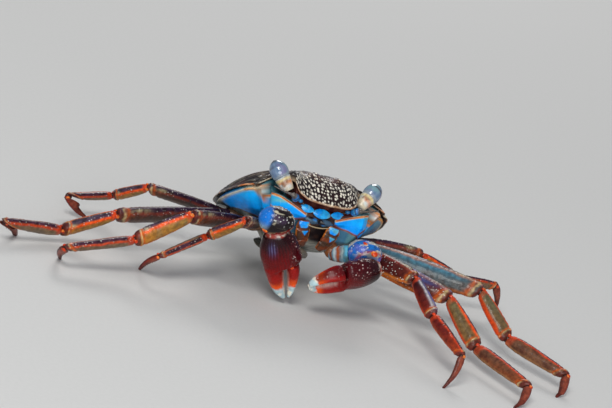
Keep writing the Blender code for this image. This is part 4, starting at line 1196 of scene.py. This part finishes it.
def trimmed(points, cut, facing):
    """Flattens what lies beyond a joint's cut onto it."""
    outward = unit(cut[1]) * facing
    beyond = (points - claw_place(cut[0]) + outward * GAP / 2) @ outward
    return points - outward * np.maximum(beyond, 0.0)[..., None]


def bowed(shape, gape, direction):
    """A finger's shape with its middle moved outward, toward the dactyl or away from it."""
    rows = []
    for share, height, thickness, rise in shape:
        along_finger = max(0.0, (share - FINGERS_FROM) / (1.0 - FINGERS_FROM))
        rows.append((share, height, thickness, rise + direction * gape * math.sin(math.pi * along_finger)))
    return rows


def make_claw_arm(side_name, claw, material):
    root, elbow = (claw_place(place) for place in claw["arm"])
    shares = np.linspace(0, 1, 60)
    grid = straight_grid(root, elbow, (0, 0, 1), ARM_SHAPE, shares, 56)
    band = shares[:, None] + 0.05 * noise(grid, 1.2, 142)
    grid = push(grid, 0.06 * noise(grid, 1.0, 141) - 0.10 * bell(band, 0.62, 0.03))
    tint = coats(
        blotched((0.10, 0.22, 0.26), AQUA, grid, 1.5, 143, -0.3, 0.5),
        ((0.34, 0.07, 0.012), bell(band, 0.46, 0.13)),
        ((0.16, 0.045, 0.015), bell(band, 0.12, 0.12)),
        (PALE, 0.7 * bell(band, 0.30, 0.05) + 0.5 * bell(band, 0.66, 0.04)))
    inward = body_vector(0, 0, 1)
    across = unit(np.cross(inward, elbow - root))
    hip = blob(root + inward * 1.6, [inward * 2.6, across * 1.8, np.cross(inward, across) * 1.9], 24, 36)
    hip = push(hip, 0.08 * noise(hip, 0.9, 162))
    hip_tint = blotched((0.20, 0.07, 0.025), (0.12, 0.24, 0.28), hip, 1.6, 163, -0.1, 0.3)
    build(f"shell_claw_{side_name}_arm", material,
          [(trimmed(grid, claw["elbow_cut"], 1), tint), (hip, hip_tint)], [f"claw_{side_name}_arm"])


def paint_wrist(grid, facing, side_name, crown, granule, ring, own, local, seam):
    """Dark crown with granules and cream streaks over a blue outer face."""
    left = side_name == "L"
    if left:
        outer = smooth(-facing[..., 1] - 0.35 * facing[..., 0], -0.25, 0.35)
        blue = blotched((0.01, 0.14, 0.48), (0.08, 0.13, 0.48), grid, 1.5, 146, -0.3, 0.5)
        plain = 0.8
    else:
        outer = smooth(-facing[..., 0] + 0.10 * facing[..., 2], 0.50, 0.80)
        blue = mix((0.01, 0.17, 0.62), (0.26, 0.38, 0.42), smooth(-facing[..., 2], 0.0, 0.6))
        plain = 1 - outer
    return coats(
        blotched(BLACK, (0.05, 0.03, 0.06), grid, 2.2, 145, -0.3, 0.5),
        (blue, outer),
        (BLACK, 0.75 * ring * (own > 0.6) * crown * left),
        ((0.56, 0.52, 0.38), 0.90 * patches(local, 0.85, 147, 0.16, 0.30) * crown * plain),
        (mix(PALE, WHITE, own), 0.9 * granule * (own > 0.45) * crown * np.maximum(plain, 0.25)),
        (blotched(RED, TAN, grid, 0.9, 148, 0.0, 0.4), 0.7 * seam))


def make_claw_wrist(side_name, claw, material):
    """Rounded knuckle between arm and palm, with red hinge knobs."""
    toward = np.array(claw["toward_dactyl"])
    hinge = unit((toward[0] + 0.6, toward[1] * 0.4, toward[2] * 0.1))
    middle = claw_place(claw["wrist"])
    rise = unit(np.array([0, 0, 1.0]) - hinge * hinge[2])
    long, high, deep = (size / 2 for size in WRIST_SIZE)
    grid = blob(middle, [hinge * long, rise * high, np.cross(hinge, rise) * deep], *WRIST_GRID)
    facing = unit(grid - middle)
    away, own = cells(grid, WRIST_GRANULE[side_name], 144)
    granule = fade(away, 0.16, 0.36)
    crown = smooth(facing[..., 2], -0.25, 0.35)
    local = np.stack([(grid - middle) @ hinge * 0.40, (grid - middle) @ rise, grid[..., 1] * 0.9], -1)
    cut_place, cut_facing = claw_place(claw["wrist_cut"][0]), unit(claw["wrist_cut"][1])
    seam = bell((grid - cut_place) @ cut_facing, -0.5, 0.35)
    tint = paint_wrist(grid, facing, side_name, crown, granule, bell(away, 0.46, 0.10), own, local, seam)
    grid = push(grid, 0.13 * granule * (own > 0.35) * crown + 0.05 * noise(grid, 1.8, 149), middle)
    grid = trimmed(trimmed(grid, claw["elbow_cut"], -1), claw["wrist_cut"], 1)
    surfaces = [(grid, tint)]
    for direction in (1, -1):
        centre = cut_place + unit(toward) * direction * 3.3 + KNOB_FACING * 1.5 - cut_facing * 0.7
        surfaces.append(knob(centre, 1.05, KNOB_FACING + unit(toward) * direction))
    elbow = claw_place(claw["elbow_cut"][0]) + unit(claw["elbow_cut"][1]) * 0.8
    surfaces.append(knob(elbow + KNOB_FACING * 2.2 + np.array([0, 0, -0.6]), 0.85, KNOB_FACING))
    if side_name == "L":
        surfaces.append(knob(middle + np.array([-1.2, -1.4, 3.4]), 0.75, (0, -0.3, 1)))
    build(f"shell_claw_{side_name}_wrist", material, surfaces, [f"claw_{side_name}_wrist"])


def paint_finger(share, stria, grid, pale_from):
    """From dark maroon through blood red and a flame-edged orange band to pale tips."""
    flame = share + 0.022 * stria + 0.03 * noise(grid, 1.6, 154)
    pale = smooth(share + 0.028 * noise(grid, 0.8, 155) + 0.010 * stria, pale_from, pale_from + 0.022)
    return coats(
        (0.016, 0.001, 0.003),
        ((0.13, 0.001, 0.002), smooth(flame, 0.12, 0.40)),
        ((0.34, 0.005, 0.002), smooth(flame, 0.40, pale_from - 0.12)),
        ((0.85, 0.090, 0.005), smooth(flame, pale_from - 0.14, pale_from - 0.02)),
        (blotched((0.42, 0.58, 0.62), (0.80, 0.78, 0.66), grid, 1.3, 156, -0.2, 0.5), pale)), pale


def make_claw_blade(side_name, claw, name, shape, rows, material):
    """The palm with its fixed finger, or the moving finger."""
    start, tip = (claw_place(place) for place in claw["palm"])
    shares = np.linspace(shape[0][0], 1, rows)
    share = shares[:, None]
    is_palm = name == "palm"
    direction = -1 if is_palm else 1
    shape = bowed(shape, claw["gape"], direction)
    grid = straight_grid(start, tip, claw["toward_dactyl"], shape, shares, BLADE_COLUMNS)
    centre = grid.mean(axis=1, keepdims=True)
    turn = turns(BLADE_COLUMNS)
    high = np.sin(turn) + 0 * share
    stria = np.sin(turn * STRIAE + 2.6 * noise(grid, 3.0, 151))
    away, own = cells(grid, 0.72, 152)
    crest = bell(high, 1.0, 0.30) * (fade(share, 0.50, 0.56) if is_palm else 1.0)
    cluster = bell(high, 0.72, 0.30) * bell(share, 0.36, 0.12) * is_palm
    rough = np.clip(crest + cluster, 0, 1)
    granule = fade(away, 0.14, 0.38) * rough * (own > 0.3)
    biting = bell(high * -direction, 1.0, 0.16) * window(share, 0.58, 0.63, 0.88, 0.92)
    teeth = np.clip(np.sin(share * 2 * math.pi * TEETH), 0, 1)
    painted, pale = paint_finger(share, stria, grid, claw["pale_from"])
    # painted highlight: a violet-blue patch with white specks where the palm faces the lights at the front
    # left
    faces_lights = smooth(unit(grid - centre) @ unit((-0.68, -0.72, 0.05)), 0.78, 0.97)
    painted_highlight = bell(share + 0.03 * noise(grid, 1.5, 161), 0.19, 0.085) * faces_lights * is_palm
    collar = fade(share + 0.015 * noise(grid, 1.0, 159), 0.020, 0.052) * is_palm
    tint = coats(
        painted,
        # violet-blue painted highlight, striped by the striae
        (mix((0.055, 0.035, 0.14), (0.20, 0.24, 0.52), smooth(stria, -0.3, 0.9)), 0.85 * painted_highlight),
        (BLACK, 0.22 * smooth(-stria, 0.2, 1.0) * (1 - pale)),
        ((0.030, 0.003, 0.006), 0.7 * rough * (1 - pale)),
        (blotched((0.42, 0.07, 0.05), (0.60, 0.48, 0.40), grid, 0.8, 160, 0.0, 0.3), 0.85 * collar),
        (mix((0.22, 0.06, 0.06), (0.70, 0.58, 0.54), smooth(own, 0.5, 1.0)), 0.9 * granule * (1 - pale)),
        # white specks of the painted highlight
        (WHITE, 0.9 * bell(cells(grid, 1.1, 157)[0], 0, 0.13) * painted_highlight),
        ((0.62, 0.46, 0.40), 0.65 * biting))
    relief = (0.018 * stria * smooth(share, 0.05, 0.15) * (1 - pale) + 0.13 * granule
              + 0.24 * biting * teeth + 0.04 * noise(grid, 2.5, 158))
    grid = push(grid, relief * (1 - 0.7 * smooth(share, 0.93, 1.0)))
    knobs = []
    if is_palm:
        grid = trimmed(grid, claw["wrist_cut"], -1)
        hinge = centre[rows // 2, 0] + unit(claw["toward_dactyl"]) * 2.6
        for outward in (1, -1):
            side = unit(np.cross(tip - start, claw["toward_dactyl"])) * outward
            knobs.append(knob(hinge + side * 2.5, 0.62, side))
    build(f"shell_claw_{side_name}_{name}", material, [*knobs, (grid, tint)],
          [f"claw_{side_name}_{name}"])


def make_claw(side_name, material):
    claw = CLAWS[side_name]
    make_claw_arm(side_name, claw, material)
    make_claw_wrist(side_name, claw, material)
    for name, (shape, rows) in BLADES.items():
        make_claw_blade(side_name, claw, name, shape, rows, material)


# ---- stage ----------------------------------------------------------------------------
def make_camera():
    a, e = math.radians(CAMERA_AZIMUTH), math.radians(CAMERA_ELEVATION)
    back = Vector((math.sin(a) * math.cos(e), -math.cos(a) * math.cos(e), math.sin(e)))
    data = bpy.data.cameras.new("camera")
    data.lens = CAMERA_LENS
    data.sensor_width = 36.0
    data.clip_end = 10.0
    camera = bpy.data.objects.new("camera", data)
    aim = Vector(BODY_PLACE) + Vector(CAMERA_AIM)
    upright = back.to_track_quat("Z", "Y").to_matrix().to_4x4()
    roll = Matrix.Rotation(math.radians(CAMERA_ROLL), 4, "Z")
    camera.matrix_world = Matrix.Translation((aim + back * CAMERA_DISTANCE) * MM) @ upright @ roll
    bpy.context.scene.collection.objects.link(camera)
    bpy.context.scene.camera = camera


def make_light(name, place, size, power, colour):
    data = bpy.data.lights.new(name, "AREA")
    data.shape = "DISK"
    data.size = size
    data.energy = power
    data.color = colour
    light = bpy.data.objects.new(name, data)
    light.location = place
    light.rotation_euler = (Vector(LIGHT_AIM) - Vector(place)).to_track_quat("-Z", "Y").to_euler()
    bpy.context.scene.collection.objects.link(light)


def make_stage():
    mesh = bpy.data.meshes.new("floor")
    corners = ((-1, -1), (1, -1), (1, 1), (-1, 1))
    mesh.from_pydata([(x * FLOOR_HALF, y * FLOOR_HALF, 0) for x, y in corners], [], [(0, 1, 2, 3)])
    m = Nodes("floor_paper")
    grain = m.texture("TexNoise", PAPER_GRAIN, {}).outputs["Fac"]
    m.fill(m.shader, {"Base Color": m.mixed(grain, *PAPER_COLOURS), "Roughness": 0.85})
    mesh.materials.append(m.material)
    floor = bpy.data.objects.new("floor", mesh)
    bpy.context.scene.collection.objects.link(floor)
    world = bpy.data.worlds.new("studio")
    world.use_nodes = True
    sky = world.node_tree.nodes["Background"].inputs
    sky["Color"].default_value = (*SKY_COLOUR, 1.0)
    sky["Strength"].default_value = SKY_STRENGTH
    bpy.context.scene.world = world
    for light in LIGHTS:
        make_light(*light)
    bpy.context.scene.view_settings.view_transform = "Standard"


# ---- build ----------------------------------------------------------------------------
def main():
    shells = {name: shell_material(name, *looks) for name, looks in SHELLS.items()}
    make_carapace(shells["back_shell"])
    make_thorax(shells["cheek_shell"])
    make_abdomen(shells["cheek_shell"])
    for side_name in ("R", "L"):
        make_eye(side_name, shells["stalk_shell"], cornea_material())
        make_antenna(side_name, shells["stalk_shell"])
        make_maxilliped(side_name, shells["stalk_shell"])
        make_claw(side_name, shells["claw_shell"])
    make_face(shells["stalk_shell"])
    for side_name, number in STANCES:
        make_leg(side_name, number, shells["leg_shell"], shells["joint_skin"])
    make_camera()
    make_stage()


main()
